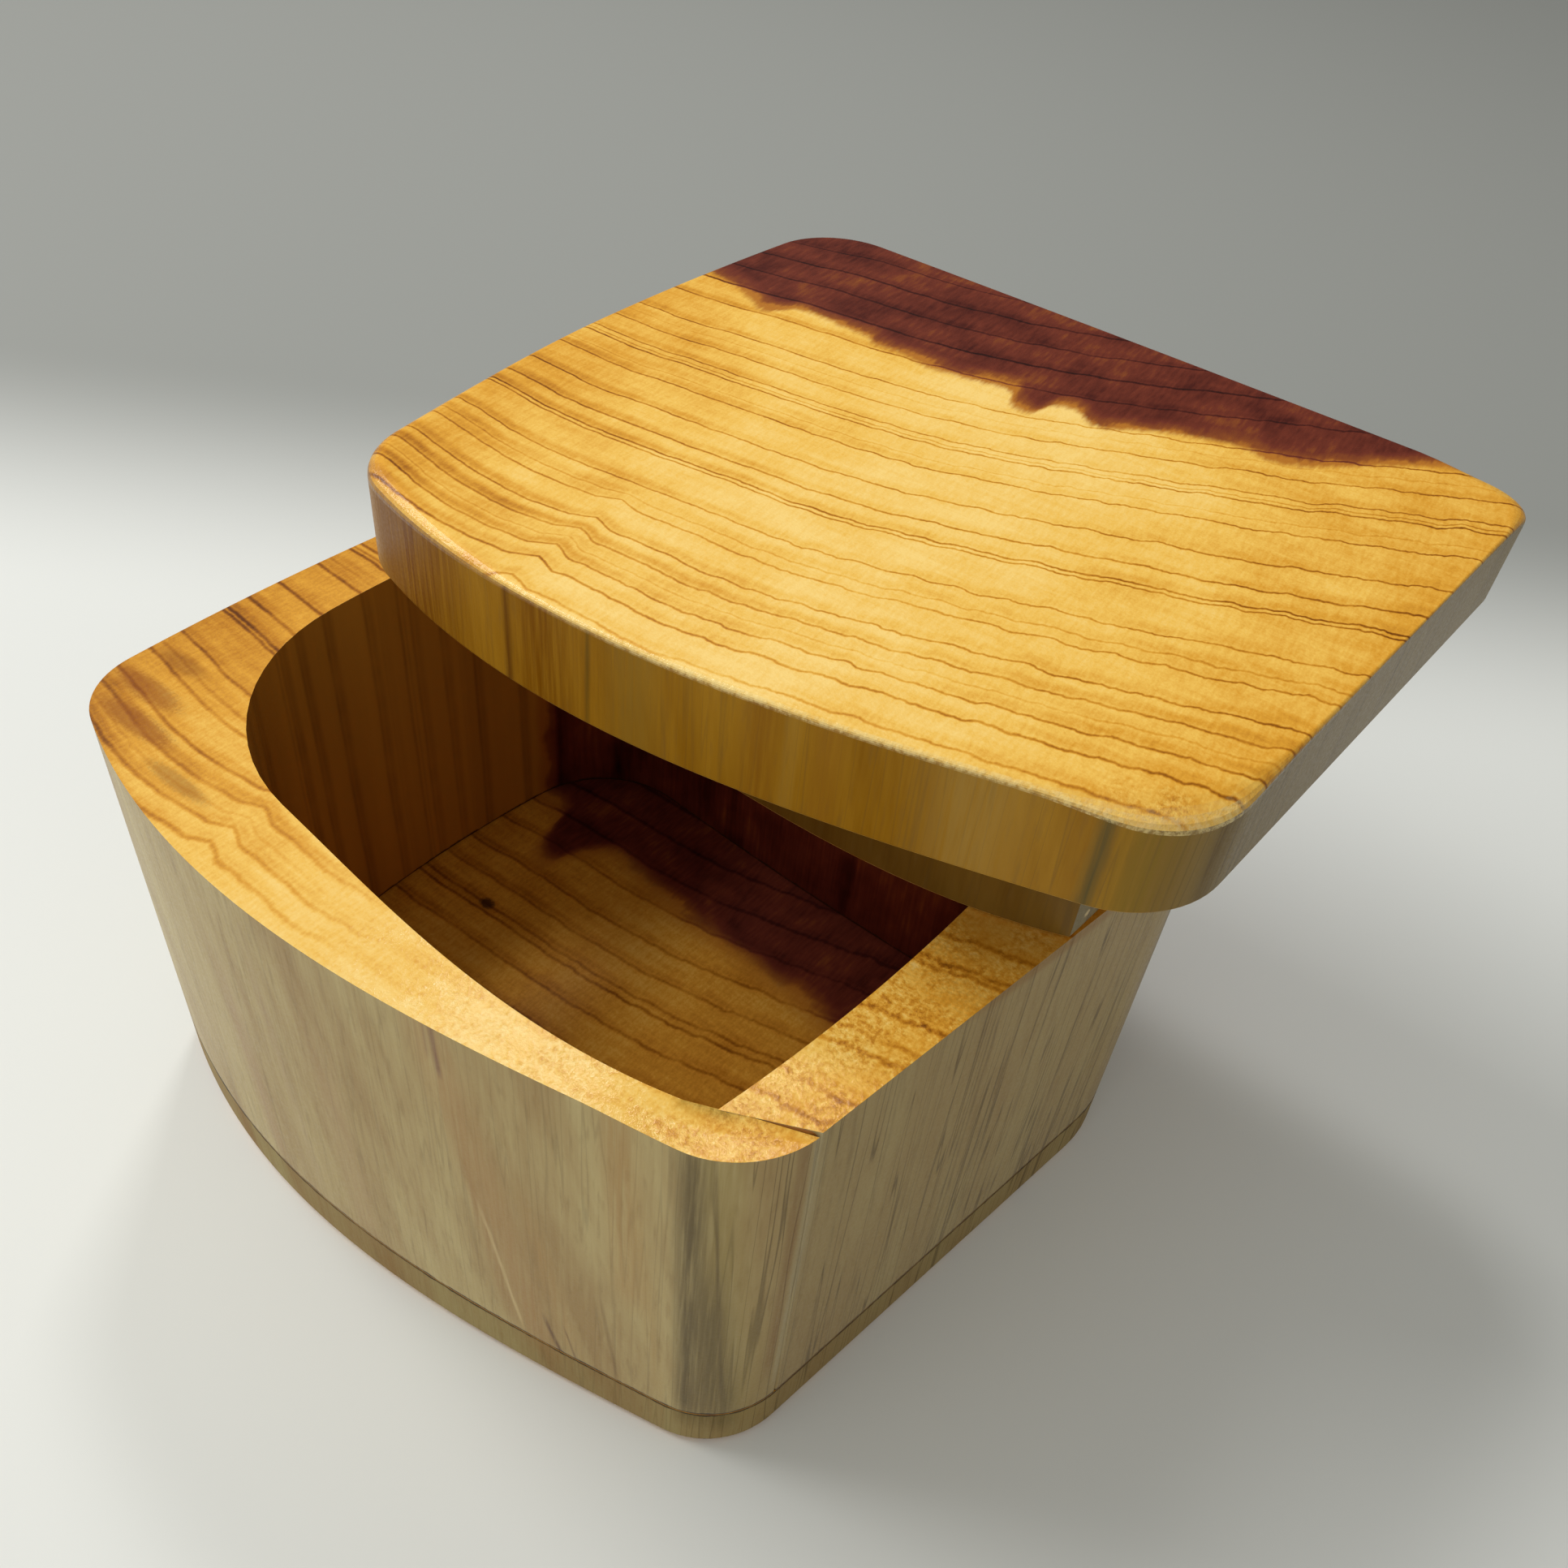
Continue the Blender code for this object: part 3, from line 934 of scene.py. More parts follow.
    def side_colour(self) -> Socket:
        """Colour the side grain: pale khaki outside with a few streaks, and orange brown in the cavity.

        Returns:
            The colour.
        """
        # Soft pinkish and olive clouds, which lean as the trunk's grain does
        lean = self.add(MATH, {0: self.z, 1: 0.16, 2: self.x}, **TIMES_PLUS)
        tall = self.add(MATH, {0: self.z, 1: 0.14}, **TIMES)
        leaning = self.add(COMBINE, {0: lean, 1: self.y, 2: tall})
        cloud = self.add(NOISE, {"Vector": leaning, **SIDE_CLOUDS})
        mixed = self.add(MATH, {0: self.fibre, 1: 0.26, 2: -0.13}, **TIMES_PLUS)
        toned = self.add(MATH, {0: cloud, 1: mixed}, **PLUS)
        share = self.add(RANGE, {"Value": toned, "From Min": 0.36, "From Max": 0.68, "To Max": 0.85})
        pale, warm = linear(self.finish.side_pale), linear(self.finish.side_warm)
        colour = self.add(MIX, {"Factor": share, 6: pale, 7: warm}, **COLOURS)
        # Faces that look right take a greyer colour, mostly darker: painted shade and sheen on them
        tint, most = self.finish.right_face_shade_and_sheen
        sockets = {"Value": self.rightward, "From Min": 0.45, "From Max": 0.95, "To Max": most}
        painted_right_share = self.add(RANGE, sockets)
        colour = self.add(MIX, {"Factor": painted_right_share, 6: colour, 7: linear(tint)}, **COLOURS)
        colour = self.with_lines(colour)
        at_front = self.add(RANGE, {"Value": self.y, "From Min": -40.0, "From Max": -48.0})
        wander = self.add(MATH, {0: self.broad, 1: 4.0, 2: -2.0}, **TIMES_PLUS)
        wandering = self.add(MATH, {0: self.x, 1: wander}, **PLUS)
        frayed = self.add(MATH, {0: self.fibre, 1: 2.6, 2: -1.3}, **TIMES_PLUS)
        for streak in self.finish.streaks:
            colour = self.with_streak(colour, streak, wandering, frayed, at_front)
        return self.with_inside(colour)

    def with_lines(self, colour: Socket) -> Socket:
        """Draw the side grain's flecks, hair lines and ring ends.

        Args:
            colour: The colour under them.

        Returns:
            The colour with them.
        """
        drawn = self.add(VECTOR, {0: self.place, 1: FLECKS_DRAWN}, **TIMES)
        flecks = self.add(NOISE, {"Vector": drawn, **FLECKS})
        share = self.add(RANGE, {"Value": flecks, "From Min": 0.54, "From Max": 0.74, "To Max": 0.30})
        colour = self.add(MIX, {"Factor": share, 6: colour, 7: linear(FLECK_BROWN)}, **COLOURS)
        # Hair lines stand where their pattern crosses its middle, and are plainest on the right face
        drawn = self.add(VECTOR, {0: self.place, 1: HAIR_DRAWN}, **TIMES)
        hair = self.add(NOISE, {"Vector": drawn, **HAIR_LINES})
        hair = self.add(MATH, {0: hair, 1: 0.5}, **LESS)
        hair = self.add(MATH, {0: hair}, **MAGNITUDE)
        sockets = {"Value": hair, "From Min": 0.004, "From Max": 0.022, "To Min": 1.0, "To Max": 0.0}
        hair = self.add(RANGE, sockets)
        sockets = {"Value": self.rightward, "From Min": 0.1, "From Max": 0.9, "To Min": 0.14, "To Max": 0.65}
        share = self.add(MATH, {0: hair, 1: self.add(RANGE, sockets)}, **TIMES)
        colour = self.add(MIX, {"Factor": share, 6: colour, 7: linear(HAIR_BROWN)}, **COLOURS)
        # The rings come out as thin broken lines, and only where the face cuts across them
        sideways = self.add(MATH, {0: self.rightward}, **MAGNITUDE)
        sockets = {"Value": sideways, "From Min": 0.35, "From Max": 0.9, "To Min": 0.10, "To Max": 1.3}
        thin = self.add(MATH, {0: self.line, 1: 2.0}, operation="POWER")
        lined = self.add(MATH, {0: thin, 1: self.add(RANGE, sockets)}, **TIMES)
        sockets = {"Value": flecks, "From Min": 0.35, "From Max": 0.6, "To Min": 0.35, "To Max": 1.0}
        share = self.add(MATH, {0: lined, 1: self.add(RANGE, sockets)}, use_clamp=True, **TIMES)
        return self.add(MIX, {"Factor": share, 6: colour, 7: linear(RING_END_BROWN)}, **COLOURS)

    def with_streak(
        self, colour: Socket, streak: Streak, x: Socket, frayed: Socket, at_front: Socket
    ) -> Socket:
        """Lay one streak over the side grain.

        Args:
            colour: The colour under it.
            streak: The streak.
            x: How far right each point lies, with the grain's wander.
            frayed: How the fibres fray its edges.
            at_front: 1 on the front face.

        Returns:
            The colour with the streak.
        """
        leaning = self.add(MATH, {0: self.z, 1: streak.lean, 2: x}, **TIMES_PLUS)
        off = self.add(MATH, {0: leaning, 1: streak.foot}, **LESS)
        gap = self.add(MATH, {0: off}, **MAGNITUDE)
        fray = 0.6 * min(streak.width, 1.4)
        rough = self.add(MATH, {0: frayed, 1: fray, 2: gap}, **TIMES_PLUS)
        sockets = {"Value": rough, "From Min": 0.1 * streak.width, "From Max": 1.15 * streak.width}
        here = self.add(RANGE, {**sockets, "To Min": streak.strength, "To Max": 0.0}, **SMOOTH)
        fade = 0.3 * (streak.high - streak.low)
        rise = {"Value": self.z, "From Min": streak.low, "From Max": streak.low + 0.3 * fade}
        fall = {"Value": self.z, "From Min": streak.high, "From Max": streak.high - fade}
        length = self.add(MATH, {0: self.add(RANGE, rise), 1: self.add(RANGE, fall)}, **TIMES)
        sockets = {"Value": self.fibre, "From Min": 0.34, "From Max": 0.62, "To Min": 0.45, "To Max": 1.1}
        for share in (length, self.add(RANGE, sockets)):
            here = self.add(MATH, {0: here, 1: share}, **TIMES)
        here = self.add(MATH, {0: here, 1: at_front}, use_clamp=True, **TIMES)
        return self.add(MIX, {"Factor": here, 6: colour, 7: linear(streak.tint)}, **COLOURS)

    def with_inside(self, colour: Socket) -> Socket:
        """Give the cavity's walls their orange brown, with upright brown bands where they cut the rings.

        Args:
            colour: The outside's colour.

        Returns:
            The colour of all side grain.
        """
        flat = self.add(VECTOR, {0: self.place, 1: (1.0, 1.0, 0.0)}, **TIMES)
        outward = self.add(VECTOR, {0: flat, 1: self.facing}, "Value", **DOT)
        inside = self.add(MATH, {0: outward, 1: 0.0}, operation="LESS_THAN")
        toned = self.weighed(0.0, ((self.shade, 0.7), (self.line, 0.55), (self.broad, 0.8)), 0.3)
        orange, band = linear(self.finish.inside), linear(CAVITY_BAND_BROWN)
        brown = self.add(MIX, {"Factor": toned, 6: orange, 7: band}, **COLOURS)
        return self.add(MIX, {"Factor": inside, 6: colour, 7: brown}, **COLOURS)

    def with_heartwood(self, sapwood: Socket) -> Socket:
        """Put the heartwood behind its uneven edge, with a fuzzy orange margin.

        Args:
            sapwood: The sapwood's colour.

        Returns:
            The colour of both.
        """
        edge = self.curve_of(self.finish.heart_edge, 0.0, 60.0)
        behind = self.add(MATH, {0: self.y, 1: edge}, **LESS)
        drawn = self.add(VECTOR, {0: self.place, 1: FRINGE_DRAWN}, **TIMES)
        fringe = self.add(NOISE, {"Vector": drawn, **FRINGE})
        inside = self.add(MATH, {0: fringe, 1: 2.4, 2: behind}, **TIMES_PLUS)
        inside = self.add(MATH, {0: inside, 1: 1.2}, **LESS)
        blur = self.finish.heart_blur
        margin = self.add(RANGE, {"Value": inside, "From Min": -blur, "From Max": blur}, **SMOOTH)
        deep = self.add(RANGE, {"Value": inside, "From Min": -1.0, "From Max": 5.5, "To Max": 0.60})
        patches = self.add(NOISE, {"Vector": self.place, **HEART_PATCHES})
        parts = ((patches, 0.8), (fringe, -0.50), (self.line, 0.52), (self.shade, 0.18))
        dark = self.weighed(deep, parts, self.finish.heart_light)
        red = self.add(RAMP, {0: dark}, stops=REDS)
        return self.add(MIX, {"Factor": margin, 6: sapwood, 7: red}, **COLOURS)

    def arris_share(self) -> Socket:
        """Find the rounded upper arris, where the lacquer is thickest.

        Returns:
            1 in its middle, where the face looks half up, and 0 off it.
        """
        off = self.add(MATH, {0: self.up, 1: 0.50}, **LESS)
        gap = self.add(MATH, {0: off}, **MAGNITUDE)
        sockets = {"Value": gap, "From Min": 0.30, "From Max": 0.47, "To Min": 1.0, "To Max": 0.0}
        return self.add(RANGE, sockets, **SMOOTH)

    def with_arris(self, colour: Socket) -> Socket:
        """Lay an uneven tint along the upper arris: thick lacquer's on the rim, a painted highlight on the
        lid.

        Args:
            colour: The colour under it.

        Returns:
            The colour with it.
        """
        arris = self.finish.arris
        sockets = {"Value": self.folds, "From Min": 0.42, "From Max": 0.58}
        folded = self.add(RANGE, {**sockets, "To Min": arris.least, "To Max": arris.most})
        along = self.add(RANGE, {"Value": self.x, "From Min": arris.start, "From Max": arris.full})
        share = self.arris_share()
        for part in (folded, along, self.curve_of(arris.depth, 0.0, 1.0, self.y)):
            share = self.add(MATH, {0: share, 1: part}, **TIMES)
        return self.add(MIX, {"Factor": share, 6: colour, 7: linear(arris.tint)}, **COLOURS)

    def with_joint(self, colour: Socket) -> Socket:
        """Darken the wood just beside the glue line, where dust and glue fill the joint unevenly.

        Args:
            colour: The wood's colour.

        Returns:
            The colour with the dark line.
        """
        off = self.add(MATH, {0: self.z, 1: (BASE_TOP + WALL_BOTTOM) / 2.0}, **LESS)
        gap = self.add(MATH, {0: off}, **MAGNITUDE)
        uneven = self.add(NOISE, {"Vector": self.place, **JOINT_GAPS})
        rough = self.add(MATH, {0: uneven, 1: -1.1, 2: gap}, **TIMES_PLUS)
        sockets = {"Value": rough, "From Min": -0.30, "From Max": 0.06, "To Min": 0.95, "To Max": 0.0}
        upright = self.add(MATH, {0: 1.0, 1: self.level}, **LESS)
        here = self.add(MATH, {0: self.add(RANGE, sockets), 1: upright}, use_clamp=True, **TIMES)
        return self.add(MIX, {"Factor": here, 6: colour, 7: linear(JOINT_BROWN)}, **COLOURS)

    def with_mark(self, colour: Socket, mark: Mark) -> Socket:
        """Set one small spot into the wood.

        Args:
            colour: The wood's colour.
            mark: The spot.

        Returns:
            The colour with the spot.
        """
        off = self.add(VECTOR, {0: self.place, 1: mark.place}, **LESS)
        scaled = self.add(VECTOR, {0: off, 1: mark.reach}, **DIVIDED)
        far = self.add(VECTOR, {0: scaled}, "Value", operation="LENGTH")
        ragged = self.add(MATH, {0: self.fine, 1: 0.8, 2: far}, **TIMES_PLUS)
        sockets = {"Value": ragged, "From Min": 0.85, "From Max": 1.4, "To Min": mark.strength, "To Max": 0.0}
        share = self.add(RANGE, sockets, **SMOOTH)
        return self.add(MIX, {"Factor": share, 6: colour, 7: linear(mark.tint)}, **COLOURS)

    def lacquer(self, colour: Socket) -> None:
        """Finish the surface: wood under thin clear satin lacquer, pitted and crinkled over end grain.

        Args:
            colour: The wood's colour.
        """
        ridge = self.add(MATH, {0: self.line, 1: 0.4, 2: self.fine}, **TIMES_PLUS)
        height = self.add(MIX, {"Factor": self.level, 2: self.fibre, 3: ridge})
        relief = self.add(BUMP, {"Strength": 0.35, "Distance": 0.10 * MM, "Height": height})
        where = self.add(MATH, {0: self.crinkle, 1: self.arris_share()}, **GREATEST)
        sockets = {"Strength": where, "Distance": 0.16 * MM, "Height": self.folds, "Normal": relief}
        crinkled = self.add(BUMP, sockets)
        low, high = self.finish.roughness
        sockets = {"Value": self.fine, "From Min": 0.3, "From Max": 0.7, "To Min": low, "To Max": high}
        sockets = {
            "Base Color": colour,
            "Roughness": self.add(RANGE, sockets),
            "IOR": 1.45,
            "Specular IOR Level": self.finish.shine,
            "Coat Weight": self.add(MATH, {0: where, 1: 0.75, 2: 0.015}, **TIMES_PLUS),
            "Coat Roughness": 0.14,
            "Coat IOR": 1.5,
            "Normal": crinkled,
            "Coat Normal": crinkled,
        }
        self.add(OUTPUT, {"Surface": self.add(SHADER, sockets)})


@dataclass(frozen=True)
class GlueFinish:
    """Hardened wood glue, pressed out of a joint and darkened by sanding dust and lacquer.

    It gives a thin dark line, satin and a little uneven.

    Attributes:
        name: The material's name.
        dark: Its darker colour.
        pale: Its paler one.
        amber: Its colour near the open top of a joint, where light comes through it.
        amber_from: The height above which it has that colour.
        blots: Spots to a millimetre in which dark and pale change.
        rise: How far above amber_from the amber is in full.
    """

    name: str
    dark: str
    pale: str
    amber: str = "#9A5C12"
    amber_from: float = 200.0
    blots: float = 0.35
    rise: float = 0.4

    def make(self) -> bpy.types.Material:
        """Build the material.

        Returns:
            The finished material.
        """
        material = new_material(self.name)
        tree = material.node_tree
        sockets = {"Vector": add_node(tree, COORDS, {}, "Object"), "Scale": (MM, MM, MM)}
        place = add_node(tree, MAPPING, sockets, vector_type="TEXTURE")
        blot = add_node(tree, NOISE, {"Vector": place, "Scale": self.blots, "Detail": 3.0})
        colour = add_node(tree, RAMP, {0: blot}, stops=((0.35, self.dark), (0.75, self.pale)))
        height = add_node(tree, SEPARATE, {0: place}, 2)
        sockets = {"Value": height, "From Min": self.amber_from, "From Max": self.amber_from + self.rise}
        lit = add_node(tree, RANGE, sockets)
        colour = add_node(tree, MIX, {"Factor": lit, 6: colour, 7: linear(self.amber)}, **COLOURS)
        sockets = {
            "Base Color": colour,
            "Roughness": add_node(tree, RANGE, {"Value": blot, "To Min": 0.35, "To Max": 0.6}),
            "IOR": 1.5,
            "Normal": add_node(tree, BUMP, {"Strength": 0.3, "Distance": 0.1 * MM, "Height": blot}),
        }
        add_node(tree, OUTPUT, {"Surface": add_node(tree, SHADER, sockets)})
        return material


@dataclass(frozen=True)
class LaminateFinish:
    """Pale matt laminate of the table top, which turns greyer far behind the box.

    Attributes:
        name: The material's name.
        near: Its colour round the box.
        far: Its colour far behind it.
        heading: Which way is behind, as the camera's heading.
        specks: Spots of its fine grain to a metre.
    """

    name: str
    near: str
    far: str
    heading: float
    specks: float = 900.0

    def make(self) -> bpy.types.Material:
        """Build the material.

        Returns:
            The finished material.
        """
        material = new_material(self.name)
        tree = material.node_tree
        where = add_node(tree, COORDS, {}, "Object")
        turned = add_node(tree, MAPPING, {"Vector": where, "Rotation": (0.0, 0.0, -self.heading)})
        back = add_node(tree, SEPARATE, {0: turned}, 1)
        share = add_node(tree, RANGE, {"Value": back, "From Min": 0.10, "From Max": 0.22}, **SMOOTH)
        sockets = {"Factor": share, 6: linear(self.near), 7: linear(self.far)}
        colour = add_node(tree, MIX, sockets, **COLOURS)
        glint_and_fold_speck = add_node(tree, NOISE, {"Vector": where, "Scale": self.specks, "Detail": 2.0})
        relief = add_node(tree, BUMP, {"Strength": 0.05, "Distance": 0.1 * MM, "Height": glint_and_fold_speck})
        sockets = {"Base Color": colour, "Roughness": 0.55, "Normal": relief}
        add_node(tree, OUTPUT, {"Surface": add_node(tree, SHADER, sockets)})
        return material


# Thin dark glue between the slices, and the kerf's, mixed with sawdust and lit amber at the rim
JOINT_GLUE = GlueFinish("hardened_wood_glue", "#1A1008", "#382210")
KERF_GLUE = GlueFinish("hardened_glue_and_sawdust", "#2E2010", "#5A4220", amber_from=RIM_HEIGHT - 1.4)
# Bright golden end grain under thick lacquer, which crinkles at the front right and glints on the arris; pale
# specks there and a pale band along the front arris are painted highlights
LID_CEDAR = CedarFinish(
    "lid_cedar", 1.0, RINGS, HEART_OF_LID, TAN_OF_LID, -33.5, "#A87A1E", "#8A5C08",
    streaks=LID_STREAKS,
    lies_with_lid=True,
    right_face_shade_and_sheen=("#7C6A40", 0.9),
    # The pale tint on the lid's front arris is a painted highlight
    arris=Arris("#FBE096", 0.05, 0.50, -30.0, -10.0, ((-72.0, 1.0), (-50.0, 1.0), (-45.0, 0.0), (72.0, 0.0))),
    crinkle=(38.0, 46.0),
    crinkle_depth=((-72.0, 1.0), (-55.0, 1.0), (-49.0, 0.0), (72.0, 0.0)),
)
# Side grain painted darker for the lid's shade over it, with a chip at its corner
PLUG_CEDAR = CedarFinish(
    "plug_cedar", 1.0, RINGS, HEART_OF_WALL, TAN_OF_LID, -33.5, "#7A5A20", "#604010",
    inside="#765420",
    streaks=(),
    lies_with_lid=True,
    right_face_shade_and_sheen=("#7E7048", 0.9),
    marks=(Mark((41.2, -47.2, 60.5), (0.8, 0.8, 0.7), 0.8, "#D8C08A"),),
)
# Khaki side grain and a golden rim, whose lacquer hides the rings in front, with brown patches at the left
WALL_CEDAR = CedarFinish(
    "wall_cedar", 0.72, RINGS, HEART_OF_WALL, TAN_OF_WALL, -30.0, "#BDA974", "#9B7B49",
    nearer_bark=2.3,
    crinkle=(-16.0, 20.0),
    crinkle_depth=((-72.0, 0.8), (-52.0, 0.8), (-46.0, 1.0), (-10.0, 1.0), (6.0, 0.2), (72.0, 0.2)),
    banding=0.6,
    worn=0.75,
    softness=1.9,
    shine=0.2,
    marks=(
        Mark((-60.5, -50.0, 72.9), (9.0, 2.6, 3.0), 0.62, "#8E4A0C"),
        Mark((-56.0, -55.0, 72.9), (10.0, 2.4, 3.0), 0.62, "#8E4A0C"),
        Mark((-42.0, -58.5, 72.9), (8.0, 1.6, 3.0), 0.45, "#80460C"),
        Mark((-62.0, -43.5, 72.9), (6.0, 2.0, 3.0), 0.42, "#80460C"),
        # A wide darker-gold patch on the right rim's back part is painted shade, where the lid's shadow falls
        Mark((58.0, -4.0, 72.9), (20.0, 24.0, 3.0), 0.50, "#8A5A0C"),
    ),
)
# Duller, browner end grain that got little lacquer, with a pin knot in the floor
BASE_CEDAR = CedarFinish(
    "base_cedar", 0.60, BASE_RINGS, HEART_OF_BASE, TAN_OF_BASE, -28.0, "#A08E5E", "#8E6E42",
    heart_blur=4.0,
    roughness=(0.55, 0.75),
    banding=0.9,
    shine=0.12,
    right_face_shade_and_sheen=("#9A8250", 0.5),
    softness=1.2,
    marks=(Mark((-42.0, -9.6, 9.0), (2.0, 1.5, 3.0), 0.9, "#43260A"),),
)


# Pieces


@dataclass(frozen=True)
class BoxBody:
    """The box without its lid: base slice, glue line, wall with its closed saw kerf, and the kerf's glue.

    Attributes:
        rim_arris: Rounding of the rim's outer arris.
        foot_arris: Rounding of the base's foot.
        arris_facets: Facets of these two.
        cavity_arris: Rounding of the rim's inner arris.
        joint_arris: Easing of the edges at the glue line.
        ease_facets: Facets of these two.
        kerf_width: Width of the saw kerf.
        kerf_angle: How far its way out of the cavity turns from +X.
        kerf_reach: How far along it the block certainly ends.
        kerf_open: How far along it an edge can still lie on the kerf.
        kerf_lead: Facets of the cavity's front that the kerf's front side takes away.
        kerf_glue_low: How far the kerf's glue lies below the rim.
        glue_depth: How far in the glue lies from the outside.
        step_inside: How far the rim's front side lies below its back side at the cavity.
        step_outside: How far at the outside.
        step_reach: How far from the kerf the rim slopes down.
        step_height: How far below the rim the slope moves the wall's points.
        cuts_ahead: Where faces for the slope start, in front of the kerf.
        cuts_along: Where they start along it.
    """

    rim_arris: float = 1.2
    foot_arris: float = 1.4
    arris_facets: int = 5
    cavity_arris: float = 0.3
    joint_arris: float = 0.12
    ease_facets: int = 2
    kerf_width: float = 0.6
    kerf_angle: float = math.radians(26.0)
    kerf_reach: float = 18.0
    kerf_open: float = 12.0
    kerf_lead: int = 2
    kerf_glue_low: float = 0.12
    glue_depth: float = 0.22
    step_inside: float = 1.05
    step_outside: float = 0.20
    step_reach: float = 16.0
    step_height: float = 2.5
    cuts_ahead: tuple[float, ...] = (1.0, 2.5, 5.0, 8.0, 12.0)
    cuts_along: tuple[float, ...] = (-16.0, -12.0, -8.0, -5.0, -2.0, 1.0, 4.0)

    @property
    def kerf_way(self) -> Vector:
        """The direction in which the kerf runs out of the cavity."""
        return Vector((math.cos(self.kerf_angle), math.sin(self.kerf_angle)))

    def cut_outline(self, closed: Sequence[Vector], inner: Vector, outer: Vector) -> tuple[int, Vector]:
        """Find where one side of the kerf crosses a closed outline.

        Args:
            closed: The outline.
            inner: The side's end in the cavity.
            outer: Its end outside the block.

        Returns:
            The index of the outline's point before the crossing, and the crossing.
        """
        for i, point in enumerate(closed):
            hit = intersect_line_line_2d(inner, outer, point, closed[(i + 1) % len(closed)])
            if hit:
                return i, hit
        raise ValueError("the kerf misses the outline")

    def kerf_ends(self, drawn_in: float = 0.0) -> tuple[list[Vector], list[Vector], list[Vector]]:
        """Draw the kerf between the cavity and the block's outside.

        Args:
            drawn_in: How far the outside is drawn in.

        Returns:
            The kerf's four corners, front inside, front outside, back outside and back inside; then the
            block's outline and the cavity's, each from the kerf's one side round to the other.
        """
        outside, cavity = BODY_PLAN.outline(SKIN + drawn_in), CORE_PLAN.outline(-drawn_in)
        along = self.kerf_way
        across = Vector((-along.y, along.x)) * (self.kerf_width / 2.0)
        beyond = ENTRY + along * self.kerf_reach
        j_front = CORE_PLAN.side_facets - 1 - self.kerf_lead
        i_front, front_outside = self.cut_outline(outside, cavity[j_front], beyond - across)
        i_back, back_outside = self.cut_outline(outside, ENTRY - along + across, beyond + across)
        j_back, back_inside = self.cut_outline(cavity, ENTRY - along + across, beyond + across)
        round_block = outside[i_back + 1 :] + outside[: i_front + 1]
        round_cavity = list(reversed(cavity[:j_front])) + list(reversed(cavity[j_back + 1 :]))
        return [cavity[j_front], front_outside, back_outside, back_inside], round_block, round_cavity

    def ring_outline(self, drawn_in: float = 0.0) -> list[Vector]:
        """Draw the wall's plan as one line: round the block, in along the kerf and back round the cavity.

        Args:
            drawn_in: How far the outside is drawn in.

        Returns:
            The line's points.
        """
        ends, round_block, round_cavity = self.kerf_ends(drawn_in)
        front_inside, front_outside, back_outside, back_inside = ends
        return [back_outside, *round_block, front_outside, front_inside, *round_cavity, back_inside]

    def kerf_frame(self, place: Vector) -> tuple[float, float]:
        """Measure a point from the kerf.

        Args:
            place: The point, in metres.

        Returns:
            How far it lies along the kerf from the cavity's corner, and how far in front of it.
        """
        off = Vector(place.xy) / MM - ENTRY
        along = self.kerf_way
        return off.dot(along), along.y * off.x - along.x * off.y

    def run_of(self, edge: bmesh.types.BMEdge) -> Run | None:
        """Tell which stretch of the plan an edge lies on.

        Args:
            edge: The edge.

        Returns:
            The stretch, or None where no upright face meets the edge.
        """
        upright = [face for face in edge.link_faces if abs(face.normal.z) < UPRIGHT]
        if len(upright) != 1:
            return None
        middle = (edge.verts[0].co + edge.verts[1].co) / 2.0
        along, ahead = self.kerf_frame(middle)
        if abs(ahead) < self.kerf_width and 0.0 < along < self.kerf_open:
            return Run.KERF
        return Run.OUTSIDE if upright[0].normal.xy.dot(middle.xy) > 0.0 else Run.CAVITY

    def step_at(self, along: float) -> float:
        """Give how far the rim's front side lies below its back side.

        Args:
            along: How far along the kerf.

        Returns:
            The height between the two sides there.
        """
        share = min(max(along / self.kerf_reach, 0.0), 1.0)
        return self.step_inside + (self.step_outside - self.step_inside) * share

    def build_base(self, wood: bpy.types.Material) -> bpy.types.Object:
        """Make the base slice, with its sanded foot and the eased edge at the glue line.

        Args:
            wood: Its material.

        Returns:
            The piece.
        """
        shape = raised(BODY_PLAN.outline(SKIN), 0.0, BASE_TOP)
        foot, joint = edges_at(shape, 0.0), edges_at(shape, BASE_TOP)
        soften(shape, foot, self.foot_arris, self.arris_facets)
        soften(shape, joint, self.joint_arris, self.ease_facets)
        return add_piece("base_slice", shape, wood, Role("box", "base_wood", "base_panel"))

    def build_glue_line(self, glue: bpy.types.Material) -> bpy.types.Object:
        """Make the film of glue between base and wall, just inside their faces.

        Args:
            glue: Its material.

        Returns:
            The piece.
        """
        shape = raised(self.ring_outline(self.glue_depth), BASE_TOP, WALL_BOTTOM)
        return add_piece("base_glue", shape, glue, Role("box", "dried_glue", "base_glue_line"))

    def build_wall(self, wood: bpy.types.Material) -> bpy.types.Object:
        """Make the wall: outside face, rim, cavity and kerf in one piece.

        Args:
            wood: Its material.

        Returns:
            The piece.
        """
        shape = raised(self.ring_outline(), WALL_BOTTOM, RIM_HEIGHT)
        self.cut_rim_for_step(shape)
        outer = edges_at(shape, RIM_HEIGHT, lambda edge: self.run_of(edge) is Run.OUTSIDE)
        inner = edges_at(shape, RIM_HEIGHT, lambda edge: self.run_of(edge) is Run.CAVITY)
        foot = edges_at(shape, WALL_BOTTOM, lambda edge: self.run_of(edge) is Run.OUTSIDE)
        soften(shape, outer, self.rim_arris, self.arris_facets)
        soften(shape, inner, self.cavity_arris, self.ease_facets)
        soften(shape, foot, self.joint_arris, self.ease_facets)
        self.step_down(shape)
        return add_piece("wall_slice", shape, wood, Role("box", "wall_wood", "box_wall"))

